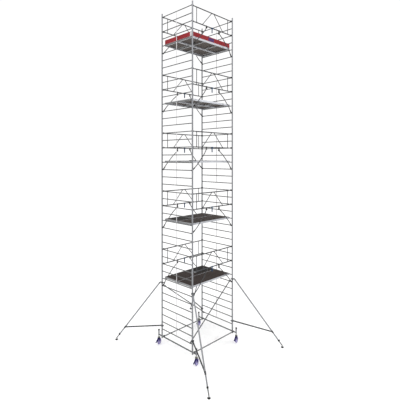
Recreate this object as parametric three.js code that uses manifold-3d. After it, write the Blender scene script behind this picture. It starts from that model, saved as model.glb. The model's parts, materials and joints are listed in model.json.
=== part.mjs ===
// Mobile aluminium tower scaffold: ladder end frames plugged into each other, five levels of paired
// platforms with hatches, side guardrails, castors on base beams, and telescopic outriggers.
// Millimetres, +Z up. The origin is on the ground in the middle of the tower; X runs along the
// platforms and Y along the rungs. Round tubes are faceted: their width across flats is the diameter.

import * as THREE from "three";
import { mergeVertices } from "three/addons/utils/BufferGeometryUtils.js";
import Module from "manifold-3d";

// Overall layout
const BAY_LENGTH = 1980; // between the axes of the two end frames
const FRAME_WIDTH = 1500; // between the post axes of one end frame
const RUNG_PITCH = 250;
const RUNGS_PER_TALL_FRAME = 8;
const RUNGS_PER_SHORT_FRAME = 4;
const BEAM_HEIGHT = 350; // base beam axis above the ground
const LEVELS = 5;
const RUNGS_PER_LEVEL = 8; // platform spacing, counted in rungs

// Fits
const GAP = 0.3; // between faces that touch
const SOCKET_CLEARANCE = 0.5;
const CLAW_CLEARANCE = 0.5;
const SWIVEL_CLEARANCE = 0.8;
const SLIDE_CLEARANCE = 0.6;
const EMBED = 5; // how far a welded piece runs into its neighbour
const SINK = 1; // how far a fitting sinks into the face that it stands on

// Tubes
const FACETS = 6;
const SLIM_FACETS = 4; // for the guardrails' tubes and the middle uprights
const ROUND_FACETS = 8;
const POST_DIAMETER = 50;
const RUNG_DIAMETER = 28;
const MIDDLE_POST_DIAMETER = 24;
const POST_WALL = 3.5;
const SPIGOT_LENGTH = 100;
const SOCKET_DEPTH = SPIGOT_LENGTH + 4;

// Claws that hook over a rung or a beam
const CLAW_WALL = 8;
const CLAW_WIDTH = 32;
const CLAW_LIP = 12; // how far the lip hangs below the rung's axis
const SHORT_ARM = 42;
const RAIL_ARM = 130;

// Guardrails
const RAIL_DIAMETER = 36;
const RAIL_INSET = 55; // from the post axis to the guardrail's plane
const TOP_RAIL_HEIGHT = 4 * RUNG_PITCH; // above the platform's rung
const MIDDLE_RAIL_HEIGHT = 2 * RUNG_PITCH;
const STRUT_FOOT_HEIGHT = -RUNG_PITCH;
const INFILL_DIAMETER = 20;
const UPRIGHT_END_GAP = 220; // from the frame's axis to the outer uprights
const VEE_TOP_OFFSET = 50;
const VEE_FOOT_OFFSET = 510;
const STRUT_DIAMETER = 25;
const PIVOT_OFFSET = 310;
const PIVOT_SIZE = [44, 34];
const PIVOT_DROP = { a: 75, b: 122 }; // unequal, so that the struts fold past each other
const STRUT_STEP = 50; // how far the struts step out past the platform's side
const STEP_FROM_HEAD = 230; // along the strut
const STEP_FROM_FOOT = 250;
const HANDLE_OFFSET = -38;
const HANDLE_SIZE = [44, 24];
const HANDLE_DROP = 165;

// Platforms
const PLATFORM_END_GAP = 60; // between a platform's end and the rung's axis
const PLATFORM_SIDE_GAP = 25; // between a platform's edge and the guardrail's plane
const PLATFORM_SEAM = 10; // between the two platforms of a level
const PLATFORM_TOP = 55; // above the rung's axis
const PLATFORM_DEPTH = 60;
const BOARD_THICKNESS = 12;
const SIDE_RAIL = 30;
const END_RAIL = 40;
const CROSS_RAIL = 30;
const CROSS_OFFSET = 300;
const PLATFORM_CLAW_INSET = 42.5; // from a platform's edge to the middle of its claws

// Hatch
const HATCH_START = 80; // hinge edge, from the middle of the platform
const HATCH_END_GAP = 90; // from the hatch to the platform's end
const HATCH_SIDE_GAP = 70; // from the hatch to the platform's edge
const HATCH_THICKNESS = 8;
const HATCH_LEDGE = 15;
const HATCH_CLEARANCE = 3;
const HINGE_BACKSET = 10; // hinge axis behind the hatch opening's edge
const HINGE_HEIGHT = 9; // hinge axis above the board
const BARREL_DIAMETER = 14;
const BARREL_LENGTH = 300;
const HINGE_PIN_DIAMETER = 6;
const HINGE_PIN_REACH = 9;
const LUG_THICKNESS = 12;
const LUG_HALF_LENGTH = 9.5;
const LUG_ABOVE_AXIS = 9;
const LEAF_LENGTH = 70;
const LEAF_THICKNESS = 4;

// Toe boards
const TOE_HEIGHT = 150;
const TOE_THICKNESS = 25;

// Braces
const BRACE_DIAMETER = 36;
const DIAGONAL_INSET = 110; // from the post axis to the diagonal's plane
const DIAGONAL_FOOT_RUNG = 1; // counted from the base beam
const DIAGONAL_HEAD_RUNG = 7;

// Base beams
const BEAM_DIAMETER = 40;
const STUB_DROP = 70; // the posts' stubs below the beam's axis
const CASTOR_OFFSET = 175; // castor axis beyond the post axis
const OUTER_BRACE_OFFSET = 50; // beyond the post axis, for the level brace outside the front posts
const SLEEVE_DIAMETER = 52;
const SLEEVE_BELOW = 25;
const SLEEVE_ABOVE = 180;

// Castors
const WHEEL_RADIUS = 100;
const WHEEL_FACETS = 16;
const TREAD_HALF_WIDTH = 14;
const RIM_RADIUS = 82;
const RIM_HALF_WIDTH = 20;
const HUB_RADIUS = 30;
const HUB_HALF_WIDTH = 25;
const AXLE_DIAMETER = 14;
const FORK_PLATE = 6;
const FORK_SIDE_GAP = 4;
const CASTOR_TRAIL = 25;
const CASTOR_YAW = THREE.MathUtils.degToRad(14.5);
const SPINDLE_DIAMETER = 36;
const SPINDLE_BELOW_SLEEVE = 15; // the spindle's top below the sleeve's
const WHEEL_TOP_GAP = 10; // between the wheel and the fork's crown
const CROWN_DEPTH = 16;
const CROWN_LENGTH = 84;
const NUT_DIAMETER = 90;
const NUT_HEIGHT = 54;
const PEDAL_REACH = 175; // from the swivel axis
const PEDAL_HEIGHT = 118; // the pedal's lower edge at its tip
const PEDAL_THICKNESS = 14;
const PEDAL_WIDTH = 40;

// Outriggers
const OUTRIGGER_ANGLE = THREE.MathUtils.degToRad(60.5); // from the X axis
const OUTRIGGER_REACH = 1735; // from the post axis to the foot
const UPPER_CLAMP_RUNG = 7; // counted from the base beam
const UPPER_CLAMP_ABOVE = 100; // above that rung
const LOWER_CLAMP_RUNG = 1;
const LOWER_CLAMP_ABOVE = 110;
const CLAMP_WALL = 10;
const CLAMP_HEIGHT = 56;
const CLAMP_ARM_LENGTH = 85;
const CLAMP_ARM_WIDTH = 30;
const MAIN_TUBE_DIAMETER = 45;
const LEG_DIAMETER = 36;
const MAIN_TUBE_LENGTH = 2530;
const LEG_OVERLAP = 500;
const KNEE_DISTANCE = 2155; // along the main tube, where the lower strut meets it
const OUTRIGGER_STRUT_DIAMETER = 42;
const COLLAR_DIAMETER = 58;
const COLLAR_LENGTH = 50;
const ANKLE_HEIGHT = 60;
const ANKLE_DIAMETER = 30;
const FOOT_DIAMETER = 90;
const FOOT_THICKNESS = 40;

// Values worked out from the sizes above
const HALF_BAY = BAY_LENGTH / 2;
const HALF_FRAME = FRAME_WIDTH / 2;
const SHORT_FRAME_HEIGHT = RUNGS_PER_SHORT_FRAME * RUNG_PITCH;
const TALL_FRAME_HEIGHT = RUNGS_PER_TALL_FRAME * RUNG_PITCH;
const FRAME_START = BEAM_HEIGHT + RUNG_PITCH / 2;
const SPIGOT_DIAMETER = POST_DIAMETER - 2 * POST_WALL - 2 * SOCKET_CLEARANCE;
const GUARDRAIL_PLANE = HALF_FRAME - RAIL_INSET;
const LEVEL_BRACE_PLANE = { front: HALF_FRAME + OUTER_BRACE_OFFSET, rear: GUARDRAIL_PLANE };
const UPRIGHT_OFFSET = HALF_BAY - UPRIGHT_END_GAP;
const PLATFORM_LENGTH = BAY_LENGTH - 2 * PLATFORM_END_GAP;
const PLATFORM_WIDTH = GUARDRAIL_PLANE - PLATFORM_SIDE_GAP - PLATFORM_SEAM / 2;
const PLATFORM_CLAW_OFFSET = PLATFORM_WIDTH / 2 - PLATFORM_CLAW_INSET;
const HATCH_LENGTH = PLATFORM_LENGTH / 2 - HATCH_START - HATCH_END_GAP;
const HATCH_WIDTH = PLATFORM_WIDTH - 2 * HATCH_SIDE_GAP;
const FORK_TOP = 2 * WHEEL_RADIUS + WHEEL_TOP_GAP + CROWN_DEPTH;
const SPINDLE_TOP = BEAM_HEIGHT + SLEEVE_ABOVE - SPINDLE_BELOW_SLEEVE;
const UPPER_CLAMP_HEIGHT = BEAM_HEIGHT + UPPER_CLAMP_RUNG * RUNG_PITCH + UPPER_CLAMP_ABOVE;
const LOWER_CLAMP_HEIGHT = BEAM_HEIGHT + LOWER_CLAMP_RUNG * RUNG_PITCH + LOWER_CLAMP_ABOVE;
const CIRCUMSCRIBE = 1 / Math.cos(Math.PI / FACETS);
const POST_CORNER_RADIUS = (POST_DIAMETER / 2) * CIRCUMSCRIBE;
const MAIN_TUBE_TOP = new THREE.Vector3(CLAMP_ARM_LENGTH - EMBED, 0, UPPER_CLAMP_HEIGHT);
const ANKLE = new THREE.Vector3(OUTRIGGER_REACH, 0, ANKLE_HEIGHT);
const MAIN_TUBE_DIRECTION = ANKLE.clone().sub(MAIN_TUBE_TOP).normalize();

const X = new THREE.Vector3(1, 0, 0);
const Y = new THREE.Vector3(0, 1, 0);
const Z = new THREE.Vector3(0, 0, 1);
const ENDS = { a: -1, b: 1 };
const FLANKS = { front: -1, rear: 1 };

const wasm = await Module();
wasm.setup();

// ---- Solids ----

// A closed three.js geometry as a manifold solid.
function solidOf(geometry) {
  geometry.deleteAttribute("normal");
  geometry.deleteAttribute("uv");
  const merged = mergeVertices(geometry, 1e-4);
  const mesh = new wasm.Mesh({
    numProp: 3,
    vertProperties: merged.attributes.position.array,
    triVerts: new Uint32Array(merged.index.array),
  });
  return new wasm.Manifold(mesh);
}

// The same solid as a three.js geometry.
function geometryOf(solid) {
  const { vertProperties, triVerts } = solid.getMesh();
  const geometry = new THREE.BufferGeometry();
  geometry.setAttribute("position", new THREE.BufferAttribute(vertProperties, 3));
  geometry.setIndex(new THREE.BufferAttribute(triVerts, 1));
  geometry.computeVertexNormals();
  return geometry;
}

const join = (solids) => solids.reduce((whole, solid) => whole.add(solid));
const cut = (solid, tools) => tools.reduce((left, tool) => left.subtract(tool), solid);
const point = (x, y, z) => new THREE.Vector3(x, y, z);

// A regular outline whose first flat faces +y of the outline.
function regularOutline(acrossFlats, facets) {
  const radius = acrossFlats / 2 / Math.cos(Math.PI / facets);
  const firstAngle = Math.PI / 2 + Math.PI / facets;
  return Array.from({ length: facets }, (_, i) => {
    const angle = firstAngle + (i * 2 * Math.PI) / facets;
    return new THREE.Vector2(radius * Math.cos(angle), radius * Math.sin(angle));
  });
}

// A straight bar of the given outline; the outline's +y points to `up`.
function bar(outline, from, to, up) {
  const depth = from.distanceTo(to);
  const along = to.clone().sub(from).normalize();
  const side = new THREE.Vector3().crossVectors(up, along).normalize();
  const top = new THREE.Vector3().crossVectors(along, side);
  const geometry = new THREE.ExtrudeGeometry(new THREE.Shape(outline), { depth, bevelEnabled: false });
  geometry.applyMatrix4(new THREE.Matrix4().makeBasis(side, top, along).setPosition(from));
  return solidOf(geometry);
}

const tube = (diameter, from, to, up, facets = FACETS) =>
  bar(regularOutline(diameter, facets), from, to, up);

// A box between two opposite corners.
function block(low, high) {
  const size = high.clone().sub(low);
  const middle = low.clone().add(high).multiplyScalar(0.5);
  const geometry = new THREE.BoxGeometry(size.x, size.y, size.z);
  return solidOf(geometry.translate(middle.x, middle.y, middle.z));
}

// A flat plate: an outline in the XZ plane, given thickness along Y about its own middle plane.
function plate(outline, thickness, y = 0) {
  const points = outline.map(([x, z]) => new THREE.Vector2(x, z));
  return bar(points, point(0, y + thickness / 2, 0), point(0, y - thickness / 2, 0), Z);
}

const turned = (solid, degrees) => solid.rotate([0, 0, degrees]);
const moved = (solid, x, y, z) => solid.translate([x, y, z]);

// A claw over a bar whose axis is Y, at the origin; its arm reaches back towards -X.
function claw(barDiameter, armLength, armHeight) {
  const inside = barDiameter / 2 + CLAW_CLEARANCE;
  const roof = (barDiameter / 2) * CIRCUMSCRIBE + CLAW_CLEARANCE;
  const outside = inside + CLAW_WALL;
  return plate(
    [
      [-armLength, -armHeight / 2],
      [-inside, -armHeight / 2],
      [-inside, roof],
      [inside, roof],
      [inside, -CLAW_LIP],
      [outside, -CLAW_LIP],
      [outside, roof + CLAW_WALL],
      [-armLength, roof + CLAW_WALL],
    ],
    CLAW_WIDTH,
  );
}

// A claw at each end of a piece that spans the bay, at the given height.
function clawPair(barDiameter, armLength, armHeight, height, y = 0) {
  const one = claw(barDiameter, armLength, armHeight);
  return [moved(one, HALF_BAY, y, height), moved(turned(one, 180), -HALF_BAY, y, height)];
}

// ---- End frames ----

// The sockets in the tops of two posts, and the spigots below them.
const socketsAt = (height) =>
  Object.values(FLANKS).map((flank) =>
    tube(
      SPIGOT_DIAMETER + 2 * SOCKET_CLEARANCE,
      point(0, flank * HALF_FRAME, height - SOCKET_DEPTH),
      point(0, flank * HALF_FRAME, height + EMBED),
      Y,
    ),
  );

const spigotsBelow = (height) =>
  Object.values(FLANKS).map((flank) =>
    tube(
      SPIGOT_DIAMETER,
      point(0, flank * HALF_FRAME, height - SPIGOT_LENGTH),
      point(0, flank * HALF_FRAME, height + EMBED),
      Y,
    ),
  );

// One ladder frame in the YZ plane, its lower joint at the origin's height.
function ladderFrame(rungs) {
  const height = rungs * RUNG_PITCH;
  const rungHeight = (i) => (i + 0.5) * RUNG_PITCH;
  const posts = Object.values(FLANKS).map((flank) =>
    tube(POST_DIAMETER, point(0, flank * HALF_FRAME, GAP), point(0, flank * HALF_FRAME, height), Y),
  );
  const steps = Array.from({ length: rungs }, (_, i) =>
    tube(RUNG_DIAMETER, point(0, -HALF_FRAME, rungHeight(i)), point(0, HALF_FRAME, rungHeight(i)), X),
  );
  const middle = tube(
    MIDDLE_POST_DIAMETER,
    point(0, 0, rungHeight(0)),
    point(0, 0, rungHeight(rungs - 1)),
    X,
    SLIM_FACETS,
  );
  return cut(join([...posts, ...steps, middle, ...spigotsBelow(0)]), socketsAt(height));
}

// ---- Base ----

// A base beam in the YZ plane, with post stubs and castor sleeves, heights from the ground.
function baseBeam() {
  const reach = HALF_FRAME + CASTOR_OFFSET;
  const beam = tube(BEAM_DIAMETER, point(0, -reach, BEAM_HEIGHT), point(0, reach, BEAM_HEIGHT), X);
  const stubs = Object.values(FLANKS).map((flank) => {
    const y = flank * HALF_FRAME;
    return tube(POST_DIAMETER, point(0, y, BEAM_HEIGHT - STUB_DROP), point(0, y, FRAME_START), Y);
  });
  const sleeve = (diameter, extra) =>
    Object.values(FLANKS).map((flank) =>
      tube(
        diameter,
        point(0, flank * reach, BEAM_HEIGHT - SLEEVE_BELOW - extra),
        point(0, flank * reach, BEAM_HEIGHT + SLEEVE_ABOVE + extra),
        Y,
        ROUND_FACETS,
      ),
    );
  const bore = SPINDLE_DIAMETER / Math.cos(Math.PI / ROUND_FACETS) + 2 * SWIVEL_CLEARANCE;
  const whole = join([beam, ...stubs, ...sleeve(SLEEVE_DIAMETER, 0)]);
  return cut(whole, [...socketsAt(FRAME_START), ...sleeve(bore, EMBED)]);
}

// A level brace between the two base beams, at the origin's height.
function horizontalBrace() {
  const end = HALF_BAY - RAIL_ARM + EMBED;
  const rail = tube(BRACE_DIAMETER, point(-end, 0, 0), point(end, 0, 0), Z);
  return join([rail, ...clawPair(BEAM_DIAMETER, RAIL_ARM, BRACE_DIAMETER, 0)]);
}

// A diagonal from a low rung at -X to a high rung at +X, heights from the base beam.
function diagonalBrace() {
  const low = DIAGONAL_FOOT_RUNG * RUNG_PITCH;
  const high = DIAGONAL_HEAD_RUNG * RUNG_PITCH;
  const end = HALF_BAY - SHORT_ARM + EMBED;
  const rail = tube(BRACE_DIAMETER, point(-end, 0, low), point(end, 0, high), Y);
  const foot = clawPair(RUNG_DIAMETER, SHORT_ARM, BRACE_DIAMETER, low)[1];
  const head = clawPair(RUNG_DIAMETER, SHORT_ARM, BRACE_DIAMETER, high)[0];
  return join([rail, foot, head]);
}

// ---- Guardrails ----

// One guardrail unit in the XZ plane, its outer side towards -Y; the origin is at its platform's
// rung. Each strut runs from its pivot to the middle of its claw's arm.
function guardrail() {
  const end = HALF_BAY - RAIL_ARM + EMBED;
  const rail = (z) => tube(RAIL_DIAMETER, point(-end, 0, z), point(end, 0, z), Y, SLIM_FACETS);
  const infill = (top, foot) =>
    tube(INFILL_DIAMETER, point(top, 0, TOP_RAIL_HEIGHT), point(foot, 0, MIDDLE_RAIL_HEIGHT), Y, SLIM_FACETS);
  const pieces = [rail(TOP_RAIL_HEIGHT), rail(MIDDLE_RAIL_HEIGHT)];
  for (const z of [TOP_RAIL_HEIGHT, MIDDLE_RAIL_HEIGHT])
    pieces.push(...clawPair(RUNG_DIAMETER, RAIL_ARM, RAIL_DIAMETER, z));
  pieces.push(...clawPair(RUNG_DIAMETER, SHORT_ARM, STRUT_DIAMETER, STRUT_FOOT_HEIGHT));
  const [pivotLength, pivotWidth] = PIVOT_SIZE;
  for (const [name, end] of Object.entries(ENDS)) {
    const pivotFoot = MIDDLE_RAIL_HEIGHT - PIVOT_DROP[name];
    pieces.push(infill(end * UPRIGHT_OFFSET, end * UPRIGHT_OFFSET));
    pieces.push(infill(end * VEE_TOP_OFFSET, end * VEE_FOOT_OFFSET));
    const x = end * PIVOT_OFFSET;
    pieces.push(
      block(
        point(x - pivotLength / 2, -pivotWidth / 2, pivotFoot),
        point(x + pivotLength / 2, pivotWidth / 2, MIDDLE_RAIL_HEIGHT),
      ),
    );
    const strutHead = point(x, 0, pivotFoot + pivotLength / 2);
    const strutFoot = point(end * (HALF_BAY - (SHORT_ARM + RUNG_DIAMETER / 2) / 2), 0, STRUT_FOOT_HEIGHT);
    const downStrut = strutFoot.clone().sub(strutHead).normalize();
    const stepOut = strutHead.clone().addScaledVector(downStrut, STEP_FROM_HEAD);
    const stepBack = strutFoot.clone().addScaledVector(downStrut, -STEP_FROM_FOOT);
    stepOut.y = -STRUT_STEP;
    stepBack.y = -STRUT_STEP;
    pieces.push(tube(STRUT_DIAMETER, strutHead, stepOut, Y, SLIM_FACETS));
    pieces.push(tube(STRUT_DIAMETER, stepOut, stepBack, Y, SLIM_FACETS));
    pieces.push(tube(STRUT_DIAMETER, stepBack, strutFoot, Y, SLIM_FACETS));
  }
  const [handleLength, handleWidth] = HANDLE_SIZE;
  pieces.push(
    block(
      point(HANDLE_OFFSET - handleLength / 2, -handleWidth / 2, MIDDLE_RAIL_HEIGHT - HANDLE_DROP),
      point(HANDLE_OFFSET + handleLength / 2, handleWidth / 2, MIDDLE_RAIL_HEIGHT),
    ),
  );
  return join(pieces);
}

// ---- Platforms ----

// A platform's framed board with its four claws and the pockets between the rails, about its own
// centre line; the origin is at the rung's axis height. crossings are the cross rails' middles.
function platformBody(crossings) {
  const bottom = PLATFORM_TOP - PLATFORM_DEPTH;
  const halfLength = PLATFORM_LENGTH / 2;
  const halfWidth = PLATFORM_WIDTH / 2;
  const slab = block(point(-halfLength, -halfWidth, bottom), point(halfLength, halfWidth, PLATFORM_TOP));
  const armLength = HALF_BAY - halfLength + EMBED;
  const claws = Object.values(FLANKS).flatMap((flank) =>
    clawPair(RUNG_DIAMETER, armLength, RAIL_DIAMETER, 0, flank * PLATFORM_CLAW_OFFSET),
  );
  const starts = [-halfLength + END_RAIL, ...crossings.map((x) => x + CROSS_RAIL / 2)];
  const stops = [...crossings.map((x) => x - CROSS_RAIL / 2), halfLength - END_RAIL];
  const pockets = starts.map((start, i) =>
    block(
      point(start, -halfWidth + SIDE_RAIL, bottom - PLATFORM_DEPTH),
      point(stops[i], halfWidth - SIDE_RAIL, PLATFORM_TOP - BOARD_THICKNESS),
    ),
  );
  return cut(join([slab, ...claws]), pockets);
}

const plainPlatform = () => platformBody([-CROSS_OFFSET, CROSS_OFFSET]);

const HINGE_X = HATCH_START - HINGE_BACKSET;
const HINGE_Z = PLATFORM_TOP + HINGE_HEIGHT;
const BARREL_END = BARREL_LENGTH / 2;

// The hinge line's bar of the given diameter, from one side distance to the other.
const hingeBar = (diameter, from, to) =>
  tube(diameter, point(HINGE_X, from, HINGE_Z), point(HINGE_X, to, HINGE_Z), Z);

// A platform with a hatch opening towards +X, a ledge round it and the hinge's two lugs.
function hatchPlatform() {
  const opening = (inset, low, high) =>
    block(
      point(HATCH_START + inset, -HATCH_WIDTH / 2 + inset, low),
      point(HATCH_START + HATCH_LENGTH - inset, HATCH_WIDTH / 2 - inset, high),
    );
  const seat = PLATFORM_TOP - HATCH_THICKNESS - GAP;
  const recess = opening(0, seat, PLATFORM_TOP + EMBED);
  const hole = opening(HATCH_LEDGE, PLATFORM_TOP - PLATFORM_DEPTH, PLATFORM_TOP);
  const lugs = Object.values(FLANKS).map((flank) => {
    const near = flank * (BARREL_END + GAP);
    const far = flank * (BARREL_END + GAP + LUG_THICKNESS);
    return block(
      point(HINGE_X - LUG_HALF_LENGTH, Math.min(near, far), PLATFORM_TOP - SINK),
      point(HINGE_X + LUG_HALF_LENGTH, Math.max(near, far), HINGE_Z + LUG_ABOVE_AXIS),
    );
  });
  const pinHole = hingeBar(
    HINGE_PIN_DIAMETER * CIRCUMSCRIBE + 2 * SWIVEL_CLEARANCE,
    -BARREL_END - 2 * LUG_THICKNESS,
    BARREL_END + 2 * LUG_THICKNESS,
  );
  const board = cut(platformBody([-CROSS_OFFSET, HATCH_START - CROSS_RAIL / 2]), [recess, hole]);
  return cut(join([board, ...lugs]), [pinHole]);
}

// The hatch lid, flush with the board, with its leaf, hinge barrel and pins.
function hatchLid() {
  const start = HATCH_START + HATCH_CLEARANCE;
  const halfWidth = HATCH_WIDTH / 2 - HATCH_CLEARANCE;
  const lid = block(
    point(start, -halfWidth, PLATFORM_TOP - HATCH_THICKNESS),
    point(HATCH_START + HATCH_LENGTH - HATCH_CLEARANCE, halfWidth, PLATFORM_TOP),
  );
  const leaf = plate(
    [
      [start, PLATFORM_TOP - SINK],
      [start + LEAF_LENGTH, PLATFORM_TOP - SINK],
      [start + LEAF_LENGTH, PLATFORM_TOP + LEAF_THICKNESS],
      [HINGE_X, PLATFORM_TOP + LEAF_THICKNESS],
      [HINGE_X, PLATFORM_TOP + CLAW_CLEARANCE],
      [start, PLATFORM_TOP + CLAW_CLEARANCE],
    ],
    BARREL_LENGTH,
  );
  const barrel = hingeBar(BARREL_DIAMETER, -BARREL_END, BARREL_END);
  const pins = hingeBar(HINGE_PIN_DIAMETER, -BARREL_END - HINGE_PIN_REACH, BARREL_END + HINGE_PIN_REACH);
  return join([lid, leaf, barrel, pins]);
}

// Four toe boards locked into one ring that stands on a level's platforms.
function toeBoards() {
  const halfLength = PLATFORM_LENGTH / 2;
  const halfWidth = PLATFORM_WIDTH + PLATFORM_SEAM / 2;
  const low = PLATFORM_TOP + GAP;
  const high = low + TOE_HEIGHT;
  const ring = block(point(-halfLength, -halfWidth, low), point(halfLength, halfWidth, high));
  const inside = block(
    point(-halfLength + TOE_THICKNESS, -halfWidth + TOE_THICKNESS, low - EMBED),
    point(halfLength - TOE_THICKNESS, halfWidth - TOE_THICKNESS, high + EMBED),
  );
  return cut(ring, [inside]);
}

// ---- Castors ----

// Fork, axle, brake pedal, adjusting nut and spindle; the swivel axis is Z through the origin, with
// the wheel towards +X and the pedal towards -X.
function castorFork() {
  const upright = (diameter, low, high) => tube(diameter, point(0, 0, low), point(0, 0, high), Y, ROUND_FACETS);
  const plateMiddle = HUB_HALF_WIDTH + FORK_SIDE_GAP + FORK_PLATE / 2;
  const cheekOutline = [
    [-CROWN_LENGTH / 2, FORK_TOP],
    [CROWN_LENGTH / 2, FORK_TOP],
    [CASTOR_TRAIL + HUB_RADIUS, WHEEL_RADIUS],
    [CASTOR_TRAIL, WHEEL_RADIUS - HUB_RADIUS],
    [CASTOR_TRAIL - HUB_RADIUS, WHEEL_RADIUS],
  ];
  const cheeks = Object.values(FLANKS).map((flank) => plate(cheekOutline, FORK_PLATE, flank * plateMiddle));
  const crown = block(
    point(-CROWN_LENGTH / 2, -plateMiddle, FORK_TOP - CROWN_DEPTH),
    point(CROWN_LENGTH / 2, plateMiddle, FORK_TOP),
  );
  const pedal = plate(
    [
      [-CROWN_LENGTH / 2 + EMBED, FORK_TOP],
      [-CROWN_LENGTH / 2 - PEDAL_THICKNESS, FORK_TOP],
      [-PEDAL_REACH, PEDAL_HEIGHT + PEDAL_THICKNESS],
      [-PEDAL_REACH, PEDAL_HEIGHT],
      [-CROWN_LENGTH / 2 + EMBED, FORK_TOP - CROWN_DEPTH],
    ],
    PEDAL_WIDTH,
  );
  const axle = tube(
    AXLE_DIAMETER,
    point(CASTOR_TRAIL, -plateMiddle - FORK_PLATE, WHEEL_RADIUS),
    point(CASTOR_TRAIL, plateMiddle + FORK_PLATE, WHEEL_RADIUS),
    Z,
    ROUND_FACETS,
  );
  return join([
    ...cheeks,
    crown,
    pedal,
    axle,
    upright(SPINDLE_DIAMETER, FORK_TOP - CROWN_DEPTH / 2, SPINDLE_TOP),
    upright(NUT_DIAMETER, FORK_TOP - CROWN_DEPTH / 2, FORK_TOP + NUT_HEIGHT),
  ]);
}

// A wheel about the Y axis, one flat of its tread facing down.
function castorWheel() {
  const bore = AXLE_DIAMETER / 2 / Math.cos(Math.PI / ROUND_FACETS) + SWIVEL_CLEARANCE;
  const half = [
    [bore, HUB_HALF_WIDTH],
    [HUB_RADIUS, HUB_HALF_WIDTH],
    [RIM_RADIUS, RIM_HALF_WIDTH],
    [WHEEL_RADIUS, TREAD_HALF_WIDTH],
  ];
  const mirrored = half.map(([radius, width]) => [radius, -width]);
  const loop = [...mirrored, ...[...half].reverse(), mirrored[0]];
  const spread = 1 / Math.cos(Math.PI / WHEEL_FACETS);
  const profile = loop.map(([radius, width]) => new THREE.Vector2(radius * spread, width));
  return solidOf(new THREE.LatheGeometry(profile, WHEEL_FACETS, Math.PI / WHEEL_FACETS));
}

// ---- Outriggers ----

const alongMainTube = (distance) => MAIN_TUBE_TOP.clone().addScaledVector(MAIN_TUBE_DIRECTION, distance);

// Two post clamps, the main tube, the lower strut and the locking collar, in the XZ plane with the
// post's axis at the origin and the foot towards +X.
function outrigger() {
  const clampBore = 2 * (POST_CORNER_RADIUS + SWIVEL_CLEARANCE);
  const clampHeights = [UPPER_CLAMP_HEIGHT, LOWER_CLAMP_HEIGHT];
  const ringTube = (diameter, height, extra) => {
    const half = CLAMP_HEIGHT / 2 + extra;
    return tube(diameter, point(0, 0, height - half), point(0, 0, height + half), Y, ROUND_FACETS);
  };
  const rings = clampHeights.map((height) => ringTube(clampBore + 2 * CLAMP_WALL, height, 0));
  const bores = clampHeights.map((height) => ringTube(clampBore, height, EMBED));
  const armStart = clampBore / 2 + CLAMP_WALL / 2;
  const arm = block(
    point(armStart, -CLAMP_ARM_WIDTH / 2, UPPER_CLAMP_HEIGHT - CLAMP_HEIGHT / 2),
    point(CLAMP_ARM_LENGTH, CLAMP_ARM_WIDTH / 2, UPPER_CLAMP_HEIGHT + CLAMP_HEIGHT / 2),
  );
  const end = alongMainTube(MAIN_TUBE_LENGTH);
  const main = tube(MAIN_TUBE_DIAMETER, MAIN_TUBE_TOP, end, Y);
  const strut = tube(
    OUTRIGGER_STRUT_DIAMETER,
    point(armStart, 0, LOWER_CLAMP_HEIGHT),
    alongMainTube(KNEE_DISTANCE),
    Y,
  );
  const collar = tube(COLLAR_DIAMETER, alongMainTube(MAIN_TUBE_LENGTH - COLLAR_LENGTH), end, Y);
  const bore = tube(
    LEG_DIAMETER + 2 * SLIDE_CLEARANCE,
    alongMainTube(MAIN_TUBE_LENGTH - LEG_OVERLAP - EMBED),
    alongMainTube(MAIN_TUBE_LENGTH + EMBED),
    Y,
  );
  return cut(join([...rings, arm, main, strut, collar]), [...bores, bore]);
}

// The sliding leg and its foot, in the same frame as the outrigger.
function outriggerLeg() {
  const leg = tube(LEG_DIAMETER, alongMainTube(MAIN_TUBE_LENGTH - LEG_OVERLAP), ANKLE, Y);
  const upright = (diameter, low, high) =>
    tube(diameter, point(OUTRIGGER_REACH, 0, low), point(OUTRIGGER_REACH, 0, high), Y, ROUND_FACETS);
  const ankle = upright(ANKLE_DIAMETER, FOOT_THICKNESS - EMBED, ANKLE_HEIGHT + LEG_DIAMETER / 2);
  return join([leg, ankle, upright(FOOT_DIAMETER, 0, FOOT_THICKNESS)]);
}

// ---- Materials ----

const finish = (color, roughness, metalness) => new THREE.MeshStandardMaterial({ color, roughness, metalness });
const ALUMINIUM = finish(0xc3c8cc, 0.38, 0.9);
const RAIL_ALUMINIUM = finish(0x9aa0a6, 0.42, 0.9);
const GALVANISED = finish(0x6d7278, 0.5, 0.85);
const BOARD = finish(0x463c39, 0.75, 0);
const HATCH_BOARD = finish(0x332c2b, 0.75, 0);
const TOE_RED = finish(0xa5373c, 0.6, 0);
const CASTOR_BLUE = finish(0x2b2a6b, 0.5, 0.3);
const WHEEL_GREY = finish(0x8f8cc0, 0.6, 0);

// ---- Assembly ----

const tower = new THREE.Group();

function add(name, geometry, material, x, y, z, turn = 0) {
  const mesh = new THREE.Mesh(geometry, material);
  mesh.name = name;
  mesh.position.set(x, y, z);
  mesh.rotation.z = turn;
  tower.add(mesh);
}

const shortFrame = geometryOf(ladderFrame(RUNGS_PER_SHORT_FRAME));
const tallFrame = geometryOf(ladderFrame(RUNGS_PER_TALL_FRAME));
const beam = geometryOf(baseBeam());
for (const [end, sign] of Object.entries(ENDS)) {
  const x = sign * HALF_BAY;
  add(`base_beam_${end}`, beam, GALVANISED, x, 0, 0);
  add(`end_frame_1m_${end}`, shortFrame, ALUMINIUM, x, 0, FRAME_START);
  for (let level = 1; level <= LEVELS; level++) {
    const z = FRAME_START + SHORT_FRAME_HEIGHT + (level - 1) * TALL_FRAME_HEIGHT;
    add(`end_frame_2m_${end}_${level}`, tallFrame, ALUMINIUM, x, 0, z);
  }
}

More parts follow.
